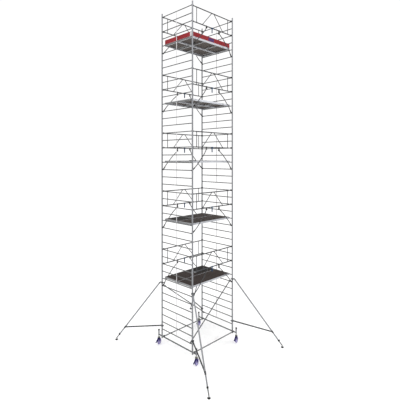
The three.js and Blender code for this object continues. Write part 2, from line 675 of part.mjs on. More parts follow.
const levelBrace = geometryOf(horizontalBrace());
const slopingBrace = geometryOf(diagonalBrace());
const rails = geometryOf(guardrail());
for (const [flank, sign] of Object.entries(FLANKS)) {
  const turn = sign < 0 ? 0 : Math.PI;
  add(`horizontal_brace_${flank}`, levelBrace, RAIL_ALUMINIUM, 0, sign * LEVEL_BRACE_PLANE[flank], BEAM_HEIGHT, turn);
  const diagonalPlane = sign * (HALF_FRAME - DIAGONAL_INSET);
  add(`diagonal_brace_${flank}`, slopingBrace, RAIL_ALUMINIUM, 0, diagonalPlane, BEAM_HEIGHT, turn);
  for (let level = 1; level <= LEVELS; level++) {
    const z = BEAM_HEIGHT + level * RUNGS_PER_LEVEL * RUNG_PITCH;
    add(`guardrail_${flank}_${level}`, rails, RAIL_ALUMINIUM, 0, sign * GUARDRAIL_PLANE, z, turn);
  }
}

// The hatch platforms are turned end for end on every second level, so that the hatches alternate.
const plain = geometryOf(plainPlatform());
const withHatch = geometryOf(hatchPlatform());
const lid = geometryOf(hatchLid());
const platformPlane = (PLATFORM_WIDTH + PLATFORM_SEAM) / 2;
for (let level = 1; level <= LEVELS; level++) {
  const z = BEAM_HEIGHT + level * RUNGS_PER_LEVEL * RUNG_PITCH;
  const turn = level % 2 ? 0 : Math.PI;
  add(`platform_plain_${level}`, plain, BOARD, 0, -platformPlane, z);
  add(`platform_hatch_${level}`, withHatch, BOARD, 0, platformPlane, z, turn);
  add(`hatch_${level}`, lid, HATCH_BOARD, 0, platformPlane, z, turn);
}
add("toe_board_set", geometryOf(toeBoards()), TOE_RED, 0, 0, BEAM_HEIGHT + LEVELS * RUNGS_PER_LEVEL * RUNG_PITCH);

const fork = geometryOf(castorFork());
const wheel = geometryOf(castorWheel());
const stay = geometryOf(outrigger());
const leg = geometryOf(outriggerLeg());
for (const [end, endSign] of Object.entries(ENDS)) {
  for (const [flank, flankSign] of Object.entries(FLANKS)) {
    const x = endSign * HALF_BAY;
    const y = flankSign * HALF_FRAME;
    const castorY = y + flankSign * CASTOR_OFFSET;
    add(`castor_fork_${end}_${flank}`, fork, CASTOR_BLUE, x, castorY, 0, CASTOR_YAW);
    const wheelX = x + CASTOR_TRAIL * Math.cos(CASTOR_YAW);
    const wheelY = castorY + CASTOR_TRAIL * Math.sin(CASTOR_YAW);
    add(`castor_wheel_${end}_${flank}`, wheel, WHEEL_GREY, wheelX, wheelY, WHEEL_RADIUS, CASTOR_YAW);
    const turn = Math.atan2(flankSign * Math.sin(OUTRIGGER_ANGLE), endSign * Math.cos(OUTRIGGER_ANGLE));
    add(`outrigger_${end}_${flank}`, stay, ALUMINIUM, x, y, 0, turn);
    add(`outrigger_leg_${end}_${flank}`, leg, ALUMINIUM, x, y, 0, turn);
  }
}

export default tower;
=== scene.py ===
"""Mobile aluminium tower scaffold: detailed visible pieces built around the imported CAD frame.

Metres, +Z up, origin on the ground in the middle of the tower, X along the platforms.
Every piece takes its place from the CAD node that it stands for.
"""

import json
import math

import bpy
from mathutils import Matrix, Vector


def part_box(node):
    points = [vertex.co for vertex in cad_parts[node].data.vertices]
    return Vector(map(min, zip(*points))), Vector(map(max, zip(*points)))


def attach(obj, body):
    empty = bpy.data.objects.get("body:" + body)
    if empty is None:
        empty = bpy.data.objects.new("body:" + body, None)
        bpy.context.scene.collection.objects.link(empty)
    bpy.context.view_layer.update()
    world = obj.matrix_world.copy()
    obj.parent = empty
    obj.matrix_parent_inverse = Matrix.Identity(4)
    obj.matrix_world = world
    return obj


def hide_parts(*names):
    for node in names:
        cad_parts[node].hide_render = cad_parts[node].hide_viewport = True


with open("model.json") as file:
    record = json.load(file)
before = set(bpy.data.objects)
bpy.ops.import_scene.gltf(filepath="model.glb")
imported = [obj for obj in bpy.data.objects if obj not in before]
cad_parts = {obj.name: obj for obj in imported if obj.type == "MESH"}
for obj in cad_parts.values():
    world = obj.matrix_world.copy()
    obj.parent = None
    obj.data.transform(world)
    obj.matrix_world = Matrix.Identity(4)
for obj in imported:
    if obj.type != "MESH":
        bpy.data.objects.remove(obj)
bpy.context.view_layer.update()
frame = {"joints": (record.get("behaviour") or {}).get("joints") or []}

# Sizes that the pieces share, in metres
RUNG_PITCH = 0.25
POST_RADIUS = 0.025
POST_WALL = 0.003
SPIGOT_LENGTH = 0.100
SPIGOT_RADIUS = 0.021
RUNG_RADIUS = 0.015
MIDDLE_POST_RADIUS = 0.011
RAIL_RADIUS = 0.0175
ARM_LENGTH = 0.130
INFILL_RADIUS = 0.0118
STRUT_RADIUS = 0.0135
BRACE_RADIUS = 0.0175
BEAM_RADIUS = 0.020
PLATFORM_TOP = 0.055
PLATFORM_DEPTH = 0.060
TOUCH = 0.0003

X = Vector((1, 0, 0))
Y = Vector((0, 1, 0))
Z = Vector((0, 0, 1))
LEVELS = (1, 2, 3, 4, 5)
ENDS = ("a", "b")
FLANK_TURNS = {"front": 0.0, "rear": math.pi}


# ---- Mesh building ----


class Shell:
    """Gathers closed shells and makes one mesh of them; u runs round a tube and v along it."""

    smooth_angle = 38

    def __init__(self):
        self.points = []
        self.faces = []
        self.uvs = []

    def add(self, points, faces, uvs=None):
        start = len(self.points)
        self.points += [tuple(p) for p in points]
        for number, face in enumerate(faces):
            self.faces.append([start + i for i in face])
            self.uvs += uvs[number] if uvs else [(points[i][0], points[i][1]) for i in face]

    def join(self, other, matrix=None):
        """Adds another shell's faces, moved by a matrix."""
        start = len(self.points)
        matrix = matrix or Matrix.Identity(4)
        self.points += [tuple(matrix @ Vector(p)) for p in other.points]
        flip = matrix.determinant() < 0
        corner = 0
        for face in other.faces:
            uv = other.uvs[corner : corner + len(face)]
            corner += len(face)
            order = range(len(face) - 1, -1, -1) if flip else range(len(face))
            self.faces.append([start + face[i] for i in order])
            self.uvs += [uv[i] for i in order]

    def revolve(self, profile, base, axis, sides=24, loop=False):
        """Turns (radius, distance) points about an axis; a loop closes on itself, as a hollow tube does."""
        axis = Vector(axis).normalized()
        side, other = cross_axes(axis)
        base = Vector(base)
        points, rings, lengths = [], [], []
        walked = 0.0
        for number, (radius, distance) in enumerate(profile):
            if number:
                last = profile[number - 1]
                walked += math.hypot(radius - last[0], distance - last[1])
            lengths.append(walked)
            centre = base + axis * distance
            if radius < 1e-6:
                rings.append([len(points)] * sides)
                points.append(centre)
                continue
            rings.append(list(range(len(points), len(points) + sides)))
            for i in range(sides):
                angle = 2 * math.pi * i / sides
                points.append(centre + side * radius * math.cos(angle) + other * radius * math.sin(angle))
        faces, uvs = [], []
        count = len(rings) if loop else len(rings) - 1
        for j in range(count):
            low, high = rings[j], rings[(j + 1) % len(rings)]
            v0, v1 = lengths[j], lengths[(j + 1) % len(rings)]
            for i in range(sides):
                k = (i + 1) % sides
                u0, u1 = i / sides, (i + 1) / sides
                quad = [low[i], low[k], high[k], high[i]]
                uv = [(u0, v0), (u1, v0), (u1, v1), (u0, v1)]
                if low[i] == low[k]:
                    quad, uv = [low[i], high[k], high[i]], [uv[0], uv[2], uv[3]]
                elif high[i] == high[k]:
                    quad, uv = quad[:3], uv[:3]
                faces.append(quad)
                uvs.append(uv)
        self.add(points, faces, uvs)

    def tube(self, start, end, radius, wall=0.0, sides=24, chamfer=0.0012):
        """A straight tube, solid when it has no wall, with chamfered ends."""
        start, end = Vector(start), Vector(end)
        length = (end - start).length
        c = min(chamfer, radius / 3)
        outer = [(radius - c, 0), (radius, c), (radius, length - c), (radius - c, length)]
        if wall:
            inner = radius - wall
            self.revolve([(inner, 0)] + outer + [(inner, length)], start, end - start, sides, loop=True)
        else:
            self.revolve([(0, 0)] + outer + [(0, length)], start, end - start, sides)

    def sweep(self, path, outline, up=Z):
        """Runs an outline of (side, up) points along a path, with a cap at each end."""
        path = [Vector(p) for p in path]
        points, walked, lengths = [], 0.0, []
        for number, at in enumerate(path):
            before = path[number - 1] if number else at
            after = path[number + 1] if number < len(path) - 1 else at
            along = (after - before).normalized()
            side = up.cross(along).normalized() if abs(up.dot(along)) < 0.999 else X.copy()
            top = along.cross(side)
            walked += (at - before).length
            lengths.append(walked)
            points += [at + side * a + top * b for a, b in outline]
        total = len(outline)
        faces = ring_faces(len(path), total)
        uvs = []
        for v0, v1 in zip(lengths, lengths[1:]):
            for i in range(total):
                u0, u1 = i / total, (i + 1) / total
                uvs.append([(u0, v0), (u1, v0), (u1, v1), (u0, v1)])
        faces.append(list(range(total))[::-1])
        faces.append(list(range(len(points) - total, len(points))))
        uvs += [outline[::-1], outline]
        self.add(points, faces, uvs)

    def wire(self, path, radius, sides=10, up=Z):
        self.sweep(path, circle(radius, sides), up)

    def prism(self, outline, thickness, place=None, bevel=0.0015):
        """A flat outline of (x, z) points with thickness along Y, bevelled on both faces."""
        outline = counter_clockwise(outline)
        b = min(bevel, thickness / 3)
        inset = offset_outline(outline, -b)
        half = thickness / 2
        layers = [(inset, -half), (outline, -half + b), (outline, half - b), (inset, half)]
        count = len(outline)
        points = [Vector((x, y, z)) for layer, y in layers for x, z in layer]
        faces = ring_faces(len(layers), count)
        faces.append(list(range(count))[::-1])
        faces.append(list(range(len(points) - count, len(points))))
        piece = Shell()
        piece.add(points, faces, [[(points[i].x, points[i].z) for i in face] for face in faces])
        piece.turn_outwards()
        self.join(piece, place)

    def box(self, low, high, bevel=0.0015):
        """A box between two corners with rounded long edges."""
        low, high = Vector(low), Vector(high)
        b = min([bevel] + [(high[i] - low[i]) / 3 for i in range(3)])
        corners = [(low.x, low.z), (high.x, low.z), (high.x, high.z), (low.x, high.z)]
        outline = rounded(corners, b, 3)
        middle = (low.y + high.y) / 2
        self.prism(outline, high.y - low.y, Matrix.Translation((0, middle, 0)), b)

    def stack(self, rings, loop=False):
        """Joins rings of points one after the other; capped, unless the last ring meets the first."""
        count = len(rings[0])
        points = [point for ring in rings for point in ring]
        faces = ring_faces(len(rings), count, loop)
        if not loop:
            faces.append(list(range(count))[::-1])
            faces.append(list(range(len(points) - count, len(points))))
        piece = Shell()
        piece.add(points, faces)
        piece.turn_outwards()
        self.join(piece)

    def turn_outwards(self):
        """Reverses the faces when the shell's volume is negative."""
        volume = 0.0
        for face in self.faces:
            a = Vector(self.points[face[0]])
            for i in range(1, len(face) - 1):
                volume += a.dot(Vector(self.points[face[i]]).cross(Vector(self.points[face[i + 1]])))
        if volume < 0:
            corner, uvs = 0, []
            for face in self.faces:
                uvs += self.uvs[corner : corner + len(face)][::-1]
                corner += len(face)
            self.faces = [face[::-1] for face in self.faces]
            self.uvs = uvs

    def mesh(self, name):
        mesh = bpy.data.meshes.new(name)
        mesh.from_pydata(self.points, [], self.faces)
        layer = mesh.uv_layers.new(name="UVMap")
        layer.data.foreach_set("uv", [value for uv in self.uvs for value in uv])
        mesh.polygons.foreach_set("use_smooth", [True] * len(mesh.polygons))
        mesh.set_sharp_from_angle(angle=math.radians(self.smooth_angle))
        mesh.validate()
        return mesh


def ring_faces(rings, count, loop=False):
    """The quads between neighbouring rings that have the same number of points."""
    faces = []
    for j in range(rings if loop else rings - 1):
        n = (j + 1) % rings
        for i in range(count):
            k = (i + 1) % count
            faces.append([j * count + i, j * count + k, n * count + k, n * count + i])
    return faces


def cross_axes(axis):
    """Two directions square to an axis and to each other."""
    side = Z.cross(axis) if abs(axis.z) < 0.9 else X - axis * axis.x
    side.normalize()
    return side, axis.cross(side)


def circle(radius, sides, ribs=0.0):
    """A round outline; ribs is the depth of the grooves between its ribs."""
    points = []
    for i in range(sides):
        angle = 2 * math.pi * i / sides
        r = radius - (ribs if i % 4 in (2, 3) else 0.0)
        points.append((r * math.cos(angle), r * math.sin(angle)))
    return points


def counter_clockwise(outline):
    area = sum(a[0] * b[1] - b[0] * a[1] for a, b in zip(outline, outline[1:] + outline[:1]))
    return list(outline) if area > 0 else list(outline)[::-1]


def offset_outline(outline, distance):
    """The outline moved out by a distance, corner by corner."""
    moved = []
    count = len(outline)
    for i, here in enumerate(outline):
        here = Vector(here)
        before = (here - Vector(outline[i - 1])).normalized()
        after = (Vector(outline[(i + 1) % count]) - here).normalized()
        normal = Vector((before.y + after.y, -before.x - after.x))
        if normal.length < 1e-9:
            moved.append(tuple(here))
            continue
        normal.normalize()
        stretch = max(0.4, normal.dot(Vector((before.y, -before.x))))
        moved.append(tuple(here + normal * distance / stretch))
    return moved


def rounded(corners, radius, steps=4):
    """A polygon with each corner rounded by an arc-like curve."""
    points = []
    count = len(corners)
    for i, corner in enumerate(corners):
        here = Vector(corner)
        before, after = Vector(corners[i - 1]), Vector(corners[(i + 1) % count])
        reach = min(radius, (before - here).length / 2.01, (after - here).length / 2.01)
        start = here + (before - here).normalized() * reach
        end = here + (after - here).normalized() * reach
        for step in range(steps + 1):
            t = step / steps
            points.append(tuple(start * (1 - t) ** 2 + here * 2 * t * (1 - t) + end * t * t))
    return points


def mirrored(half):
    """A profile of (radius, distance) followed by its mirror image."""
    return half + [(radius, -distance) for radius, distance in half[::-1]]


def arc(centre, radius, start, end, steps):
    """Points of an arc in a plane; the angles are in degrees."""
    points = []
    for i in range(steps + 1):
        angle = math.radians(start + (end - start) * i / steps)
        points.append((centre[0] + radius * math.cos(angle), centre[1] + radius * math.sin(angle)))
    return points


def place_piece(name, mesh, body, location=(0, 0, 0), turn=0.0, replaced=()):
    """Puts one object with that mesh on a CAD body."""
    piece = bpy.data.objects.new(name, mesh)
    bpy.context.scene.collection.objects.link(piece)
    piece.matrix_world = Matrix.Translation(location) @ Matrix.Rotation(turn, 4, "Z")
    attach(piece, body)
    if replaced:
        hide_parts(*replaced)
    return piece


def make_group(prefix, kinds):
    """Meshes that repeated objects share, made from rows of (label, shell, material, slot)."""
    made = []
    for label, shell, material, slot in kinds:
        mesh = shell.mesh(f"{prefix}_{label}")
        mesh.materials.append(material)
        made.append((label, mesh, slot))
    return made


def place_group(made, name, body, at, turn, shown, node=None):
    """Puts a group's pieces on a body; the piece labelled shown stands for the CAD node."""
    for label, mesh, slot in made:
        replaced = (node or name,) if label == shown else ()
        place_piece(f"{name}_{label}", mesh, body, at, turn, replaced)


def middle_y(name):
    """The middle of a CAD node across the tower."""
    low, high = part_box(name)
    return (low.y + high.y) / 2


# ---- Materials ----


class Nodes:
    """A short way to write a node material."""

    def __init__(self, name):
        self.material = bpy.data.materials.new(name)
        self.material.use_nodes = True
        self.tree = self.material.node_tree
        self.shader = self.tree.nodes["Principled BSDF"]
        self.coords = self.node("ShaderNodeTexCoord")
        self.chance = self.node("ShaderNodeObjectInfo")

    def node(self, kind, **values):
        made = self.tree.nodes.new(kind)
        for key, value in values.items():
            setattr(made, key, value)
        return made

    def link(self, output, target):
        self.tree.links.new(output, target)

    def mapped(self, scale, source="Object"):
        """The coordinates scaled, and shifted at random for each object."""
        mapping = self.node("ShaderNodeMapping")
        mapping.inputs["Scale"].default_value = scale
        self.link(self.coords.outputs[source], mapping.inputs["Vector"])
        shift = self.node("ShaderNodeVectorMath", operation="SCALE")
        shift.inputs[0].default_value = (13.0, 7.0, 5.0)
        self.link(self.chance.outputs["Random"], shift.inputs["Scale"])
        self.link(shift.outputs[0], mapping.inputs["Location"])
        return mapping.outputs[0]

    def noise(self, scale, detail=4.0, source="Object", roughness=0.55):
        texture = self.node("ShaderNodeTexNoise")
        texture.inputs["Scale"].default_value = 1.0
        texture.inputs["Detail"].default_value = detail
        texture.inputs["Roughness"].default_value = roughness
        self.link(self.mapped(scale, source), texture.inputs["Vector"])
        return texture.outputs["Fac"]

    def ramp(self, value, stops):
        made = self.node("ShaderNodeValToRGB")
        elements = made.color_ramp.elements
        for index, (position, color) in enumerate(stops):
            element = elements[index] if index < 2 else elements.new(position)
            element.position = position
            element.color = (*color, 1.0)
        self.link(value, made.inputs["Fac"])
        return made.outputs["Color"]

    def spread(self, value, low, high):
        made = self.node("ShaderNodeMapRange")
        made.inputs["From Min"].default_value = 0.3
        made.inputs["From Max"].default_value = 0.7
        made.inputs["To Min"].default_value = low
        made.inputs["To Max"].default_value = high
        self.link(value, made.inputs["Value"])
        return made.outputs["Result"]

    def mix(self, factor, first, second, kind="MIX"):
        made = self.node("ShaderNodeMix", data_type="RGBA", blend_type=kind)
        for value, key in ((factor, 0), (first, 6), (second, 7)):
            if isinstance(value, bpy.types.NodeSocket):
                self.link(value, made.inputs[key])
            elif key == 0:
                made.inputs[key].default_value = value
            else:
                made.inputs[key].default_value = (*value, 1.0)
        return made.outputs[2]

    def bump(self, *layers):
        """Bumps of (height, distance) stacked on each other."""
        normal = None
        for height, distance in layers:
            made = self.node("ShaderNodeBump")
            made.inputs["Strength"].default_value = 0.6
            made.inputs["Distance"].default_value = distance
            self.link(height, made.inputs["Height"])
            if normal:
                self.link(normal, made.inputs["Normal"])
            normal = made.outputs["Normal"]
        self.link(normal, self.shader.inputs["Normal"])

    def finish(self, color, roughness, metallic=0.0, specular=0.5):
        self.link(color, self.shader.inputs["Base Color"])
        self.shader.inputs["Specular IOR Level"].default_value = specular
        self.link(roughness, self.shader.inputs["Roughness"])
        self.shader.inputs["Metallic"].default_value = metallic
        return self.material


def shade(color, factor):
    return tuple(min(1.0, max(0.0, value * factor)) for value in color)


def extruded_metal(name, color, roughness=0.36, metallic=0.75):
    """Drawn tube: fine streaks along its length, soft handling marks and dull patches."""
    n = Nodes(name)
    streaks = n.noise((90.0, 3.0, 1.0), 3.0, "UV")
    patches = n.noise((7.0, 7.0, 7.0), 5.0)
    marks = n.noise((160.0, 160.0, 60.0), 2.0)
    base = n.ramp(patches, [(0.32, shade(color, 0.90)), (0.68, shade(color, 1.06))])
    worn = n.mix(n.spread(streaks, 0.0, 0.35), base, shade(color, 0.78))
    n.bump((streaks, 0.0004), (marks, 0.0002))
    return n.finish(worn, n.spread(patches, roughness - 0.07, roughness + 0.12), metallic)


def cast_metal(name, color, roughness=0.5, metallic=0.7, grain=240.0):
    """Sand-cast, galvanised or zinc-plated metal: grainy and mottled."""
    n = Nodes(name)
    grains = n.noise((grain, grain, grain), 3.0)
    patches = n.noise((28.0, 28.0, 28.0), 4.0)
    tone = n.ramp(patches, [(0.3, shade(color, 0.82)), (0.5, color), (0.7, shade(color, 1.16))])
    n.bump((patches, 0.0008), (grains, 0.0004))
    return n.finish(tone, n.spread(grains, roughness - 0.08, roughness + 0.12), metallic)


def moulded_plastic(name, color, roughness=0.42, dust=0.12):
    """Moulded plastic: even colour, fine texture, a little dust in the broad patches."""
    n = Nodes(name)
    grains = n.noise((520.0, 520.0, 520.0), 2.0)
    patches = n.noise((22.0, 22.0, 22.0), 5.0)
    pale = tuple(value + (0.5 - value) * dust for value in color)
    tone = n.ramp(patches, [(0.38, color), (0.74, pale)])
    n.bump((grains, 0.0003))
    return n.finish(tone, n.spread(patches, roughness - 0.06, roughness + 0.16), specular=0.06)


def rubber_finish(name, color):
    """Dull rubber with paler scuffs."""
    n = Nodes(name)
    grains = n.noise((300.0, 300.0, 300.0), 3.0)
    scuffs = n.noise((40.0, 40.0, 14.0), 5.0)
    tone = n.ramp(scuffs, [(0.45, color), (0.85, tuple(v + 0.025 for v in color))])
    n.bump((grains, 0.0006))
    return n.finish(tone, n.spread(scuffs, 0.62, 0.85), specular=0.05)


def painted_finish(name, color, chip=(0.45, 0.45, 0.46), roughness=0.38, chips=0.70):
    """Coated steel with slight orange peel and a few bare chips."""
    n = Nodes(name)
    peel = n.noise((420.0, 420.0, 420.0), 2.0)
    patches = n.noise((16.0, 16.0, 16.0), 5.0)
    specks = n.noise((75.0, 75.0, 75.0), 6.0, roughness=0.7)
    tone = n.ramp(patches, [(0.3, shade(color, 0.85)), (0.7, shade(color, 1.12))])
    bare = n.ramp(specks, [(chips, (0, 0, 0)), (chips + 0.03, (1, 1, 1))])
    n.bump((peel, 0.0003), (bare, 0.0002))
    sheen = n.spread(patches, roughness - 0.05, roughness + 0.14)
    return n.finish(n.mix(bare, tone, chip), sheen, specular=0.08)


def phenolic_board(name, color, underside):
    """Film-faced plywood: a pressed grip with foot wear and dust on top, a smooth film below."""
    n = Nodes(name)
    voronoi = n.node("ShaderNodeTexVoronoi", feature="DISTANCE_TO_EDGE")
    voronoi.inputs["Scale"].default_value = 1.0
    voronoi.inputs["Randomness"].default_value = 0.15
    n.link(n.mapped((165.0, 165.0, 165.0)), voronoi.inputs["Vector"])
    wires = n.ramp(voronoi.outputs["Distance"], [(0.05, (0, 0, 0)), (0.22, (1, 1, 1))])
    traffic = n.noise((2.6, 2.6, 2.6), 6.0)
    grime = n.noise((19.0, 23.0, 19.0), 6.0, roughness=0.7)
    scratches = n.noise((9.0, 260.0, 9.0), 3.0)
    base = n.ramp(traffic, [(0.30, shade(color, 0.78)), (0.52, color), (0.74, shade(color, 1.3))])
    dusty = n.mix(n.spread(grime, 0.0, 0.30), base, shade(color, 1.6))
    scored = n.mix(n.spread(scratches, 0.0, 0.16), dusty, shade(color, 0.5))
    lined = n.mix(0.22, scored, wires, "MULTIPLY")
    facing = n.node("ShaderNodeSeparateXYZ")
    n.link(n.coords.outputs["Normal"], facing.inputs[0])
    below = n.node("ShaderNodeMath", operation="LESS_THAN")
    below.inputs[1].default_value = -0.5
    n.link(facing.outputs["Z"], below.inputs[0])
    plain = n.ramp(traffic, [(0.30, shade(underside, 0.90)), (0.70, shade(underside, 1.10))])
    n.bump((wires, 0.0003), (grime, 0.0003))
    return n.finish(n.mix(below.outputs[0], lined, plain), n.spread(grime, 0.55, 0.80), specular=0.1)


def toe_board_finish(name, color):
    """Red film-faced board: long grain showing through, scuffs along it."""
    n = Nodes(name)
    grain = n.noise((3.0, 60.0, 120.0), 5.0)
    patches = n.noise((4.0, 4.0, 4.0), 4.0)
    scuffs = n.noise((22.0, 90.0, 200.0), 6.0, roughness=0.7)
    tone = n.ramp(patches, [(0.3, shade(color, 0.80)), (0.7, shade(color, 1.12))])
    grained = n.mix(n.spread(grain, 0.0, 0.30), tone, shade(color, 0.62))
    scuffed = n.mix(n.spread(scuffs, -0.25, 0.14), grained, (0.42, 0.20, 0.19))
    n.bump((grain, 0.0004), (scuffs, 0.0003))
    return n.finish(scuffed, n.spread(scuffs, 0.48, 0.66), specular=0.12)


TUBE = extruded_metal("tube_aluminium", (0.235, 0.240, 0.255))
# Rungs: the posts' aluminium painted darker, painted shade that stands in for how the thin rungs look
RUNG_PAINTED_SHADE = extruded_metal("rung_aluminium_painted_shade", (0.135, 0.137, 0.137), 0.42, 0.85)
# Middle upright: the same aluminium painted paler than the posts, a painted highlight
PAINTED_HIGHLIGHT_TUBE = extruded_metal("middle_upright", (0.62, 0.61, 0.62), 0.45, 0.4)
# Guardrail rails: the same aluminium painted nearly black, painted shade
RAIL_TUBE_PAINTED_SHADE = extruded_metal("rail_aluminium", (0.072, 0.074, 0.079), 0.40, 0.9)
PLATFORM_METAL = extruded_metal("platform_extrusion", (0.46, 0.47, 0.50), 0.38)
# Platform end rails and claws: the platform extrusion's grey painted darker, painted shade
PLATFORM_END_PAINTED_SHADE = extruded_metal("platform_end", (0.38, 0.385, 0.395), 0.42)
CROSS_METAL = extruded_metal("cross_rail", (0.38, 0.385, 0.39), 0.42)
HINGE_DARK = cast_metal("hinge_dark", (0.07, 0.07, 0.072), 0.5, 0.6, 260.0)
# Guardrail struts, collars and cheeks: the same aluminium painted nearly black, painted shade
STRUT_TUBE_PAINTED_SHADE = extruded_metal("strut_aluminium_painted_shade", (0.060, 0.061, 0.064), 0.40, 0.9)
DARK_TUBE = extruded_metal("dark_tube", (0.060, 0.062, 0.066), 0.50, 0.9)
BEAM_METAL = cast_metal("beam_galvanised", (0.105, 0.110, 0.115), 0.52, 0.6, 120.0)
CASTING = cast_metal("casting_aluminium", (0.24, 0.245, 0.25), 0.46, 0.6)
ZINC = cast_metal("zinc_plate", (0.42, 0.425, 0.42), 0.38, 0.85, 320.0)
NUT_METAL = cast_metal("nut_metal", (0.15, 0.15, 0.13), 0.5, 0.6, 180.0)
BLACK = moulded_plastic("black_moulding", (0.004, 0.004, 0.005), 0.6, 0.0)
BLUE_HANDLE = moulded_plastic("blue_moulding", (0.010, 0.042, 0.095), 0.5, 0.0)
WHITE = moulded_plastic("white_moulding", (0.56, 0.53, 0.54), 0.5, 0.05)
RUBBER = rubber_finish("black_rubber", (0.002, 0.002, 0.003))
CASTOR_PAINT = painted_finish("castor_blue", (0.010, 0.004, 0.085), (0.03, 0.03, 0.12), 0.6, 0.85)
WHEEL_NYLON = moulded_plastic("wheel_nylon", (0.46, 0.42, 0.68), 0.45, 0.1)
TYRE = rubber_finish("castor_tread", (0.135, 0.115, 0.265))
BOARD = phenolic_board("phenolic_board", (0.040, 0.029, 0.025), (0.092, 0.078, 0.070))
HATCH_BOARD = phenolic_board("hatch_board", (0.014, 0.012, 0.011), (0.080, 0.068, 0.062))
TOE_RED = toe_board_finish("toe_board_red", (0.27, 0.022, 0.028))
PATCH_BLUE = painted_finish("patch_blue", (0.075, 0.036, 0.120), (0.2, 0.2, 0.3), 0.5, 0.8)
BRACE_TUBE = extruded_metal("brace_tube", (0.145, 0.148, 0.150), 0.46)
DARK_LEG = extruded_metal("leg_tube", (0.16, 0.163, 0.17), 0.42, 0.85)
CLAMP_METAL = cast_metal("clamp_metal", (0.11, 0.113, 0.12), 0.5, 0.6, 200.0)


# ---- Shared sub-parts ----

HOOK_WALL = 0.0085
HOOK_WIDTH = 0.030


def claw_hook(inner_radius, width=HOOK_WIDTH, wall=HOOK_WALL):
    """A cast hook over a bar along Y through the origin, open below."""
    shell = Shell()
    outer = inner_radius + wall
    hook = arc((0, 0), inner_radius, 192, -18, 20) + arc((0, 0), outer, -24, 196, 24)
    shell.prism(hook, width, bevel=0.002)
    return shell


def claw_housing(inner_radius, width=HOOK_WIDTH, length=0.055):
    """The black moulded body behind a hook, with its trigger on top and the latch under the bar."""
    shell = Shell()
    outer = inner_radius + HOOK_WALL
    back = -outer - length
    body = [
        (-outer * 0.90, -outer * 0.75), (-outer * 0.97, outer * 0.35), (-outer * 0.70, outer * 0.86),
        (-outer * 0.70, outer + 0.006), (-outer - 0.012, outer + 0.009), (back + 0.014, outer + 0.003),
        (back, outer * 0.55), (back, -outer * 0.55), (back + 0.012, -outer * 0.92),
        (-outer - 0.006, -outer * 0.98),
    ]
    shell.prism(rounded(body, 0.006, 4), width + 0.004, bevel=0.003)
    latch = arc((0, 0), inner_radius + 0.0006, 300, 205, 10)
    latch += arc((0, 0), inner_radius + 0.0060, 203, 306, 10)
    shell.prism(latch, width * 0.5, bevel=0.001)
    grip = width * 0.36
    for i in range(4):
        x = -outer - 0.014 - 0.008 * i
        z = outer + 0.0065 - 0.0012 * i
        shell.tube((x, -grip, z), (x, grip, z), 0.0022, sides=10)
    return shell


def claw_arm(inner_radius, tail_radius):
    """The casting between a claw and the tube that it ends: a flat root growing into a round collar."""
    shell = Shell()
    start = -inner_radius - 0.0086
    tail = -ARM_LENGTH + 0.02
    root = [
        (start, -0.015), (start, 0.017), (start - 0.03, 0.0145), (tail, tail_radius * 0.9),
        (tail, -tail_radius * 0.9), (start - 0.03, -0.0125),
    ]
    shell.prism(rounded(root, 0.004), HOOK_WIDTH * 0.72, bevel=0.003)
    r = tail_radius + 0.0022
    collar = [(0, -0.004), (r * 0.8, -0.004), (r, 0.0), (r, 0.03), (r - 0.002, 0.034), (0, 0.034)]
    shell.revolve(collar, (-ARM_LENGTH - 0.012, 0, 0), X, 28)
    rivet = HOOK_WIDTH * 0.42
    for x in (start - 0.018, start - 0.052):
        shell.tube((x, -rivet, 0), (x, rivet, 0), 0.0048, sides=12)
    return shell


def both_ends(shell, height, side=0.0):
    """The same piece at each end of the bay: the second is turned to face the other way."""
    made = Shell()
    made.join(shell, Matrix.Translation((HALF_BAY, side, height)))
    made.join(shell, Matrix.Translation((-HALF_BAY, side, height)) @ Matrix.Rotation(math.pi, 4, "Z"))
    return made


def weld_bead(shell, centre, axis, radius, size=0.0022):
    """A fillet weld round a tube where it meets another."""
    root = radius - 0.001
    bead = [(root, -size), (radius + size, -size * 0.4), (radius + size * 0.9, size * 0.5), (root, size)]
    shell.revolve(bead, centre, axis, 20, loop=True)


def bolt(shell, head, direction, radius):
    """A hexagon bolt head with its washer, standing on a surface."""
    shell.revolve([(0, 0), (radius * 1.75, 0), (radius * 1.75, 0.0016), (0, 0.0016)], head, direction, 20)
    shell.revolve(
        [(0, 0.001), (radius * 1.12, 0.001), (radius * 1.12, 0.0055), (radius * 0.95, 0.007), (0, 0.007)],
        head, direction, 6)


# ---- End frames ----

CLIP_HEIGHTS = (-0.045, 0.050)
SPIGOT_ABOVE_JOINT = 0.060
SPIGOT_WALL = 0.0028
RIB_DEPTH = 0.0006
BOW_GAP = 0.005
BOW_WIRE = 0.0019


def frame_tubes(half_width, height, rungs):
    """Posts, spigots, middle upright and welds of one ladder frame, its lower joint at the origin."""
    shell = Shell()
    for side in (-1, 1):
        y = side * half_width
        shell.tube((0, y, TOUCH), (0, y, height), POST_RADIUS, POST_WALL, 40)
        shell.tube((0, y, -SPIGOT_LENGTH), (0, y, SPIGOT_ABOVE_JOINT), SPIGOT_RADIUS, SPIGOT_WALL, 32, 0.003)
        for i in range(rungs):
            z = (i + 0.5) * RUNG_PITCH
            weld_bead(shell, (0, y - side * POST_RADIUS * 0.985, z), Y * -side, RUNG_RADIUS)
    return shell


def middle_upright(rungs):
    """The thin upright between the rungs, halfway along them."""
    shell = Shell()
    for i in range(rungs - 1):
        low = (i + 0.5) * RUNG_PITCH + RUNG_RADIUS * 0.85
        high = (i + 1.5) * RUNG_PITCH - RUNG_RADIUS * 0.85
        shell.tube((0, 0, low), (0, 0, high), MIDDLE_POST_RADIUS, 0, 24)
        weld_bead(shell, (0, 0, low + 0.002), Z, MIDDLE_POST_RADIUS, 0.0018)
        weld_bead(shell, (0, 0, high - 0.002), Z, MIDDLE_POST_RADIUS, 0.0018)
    return shell


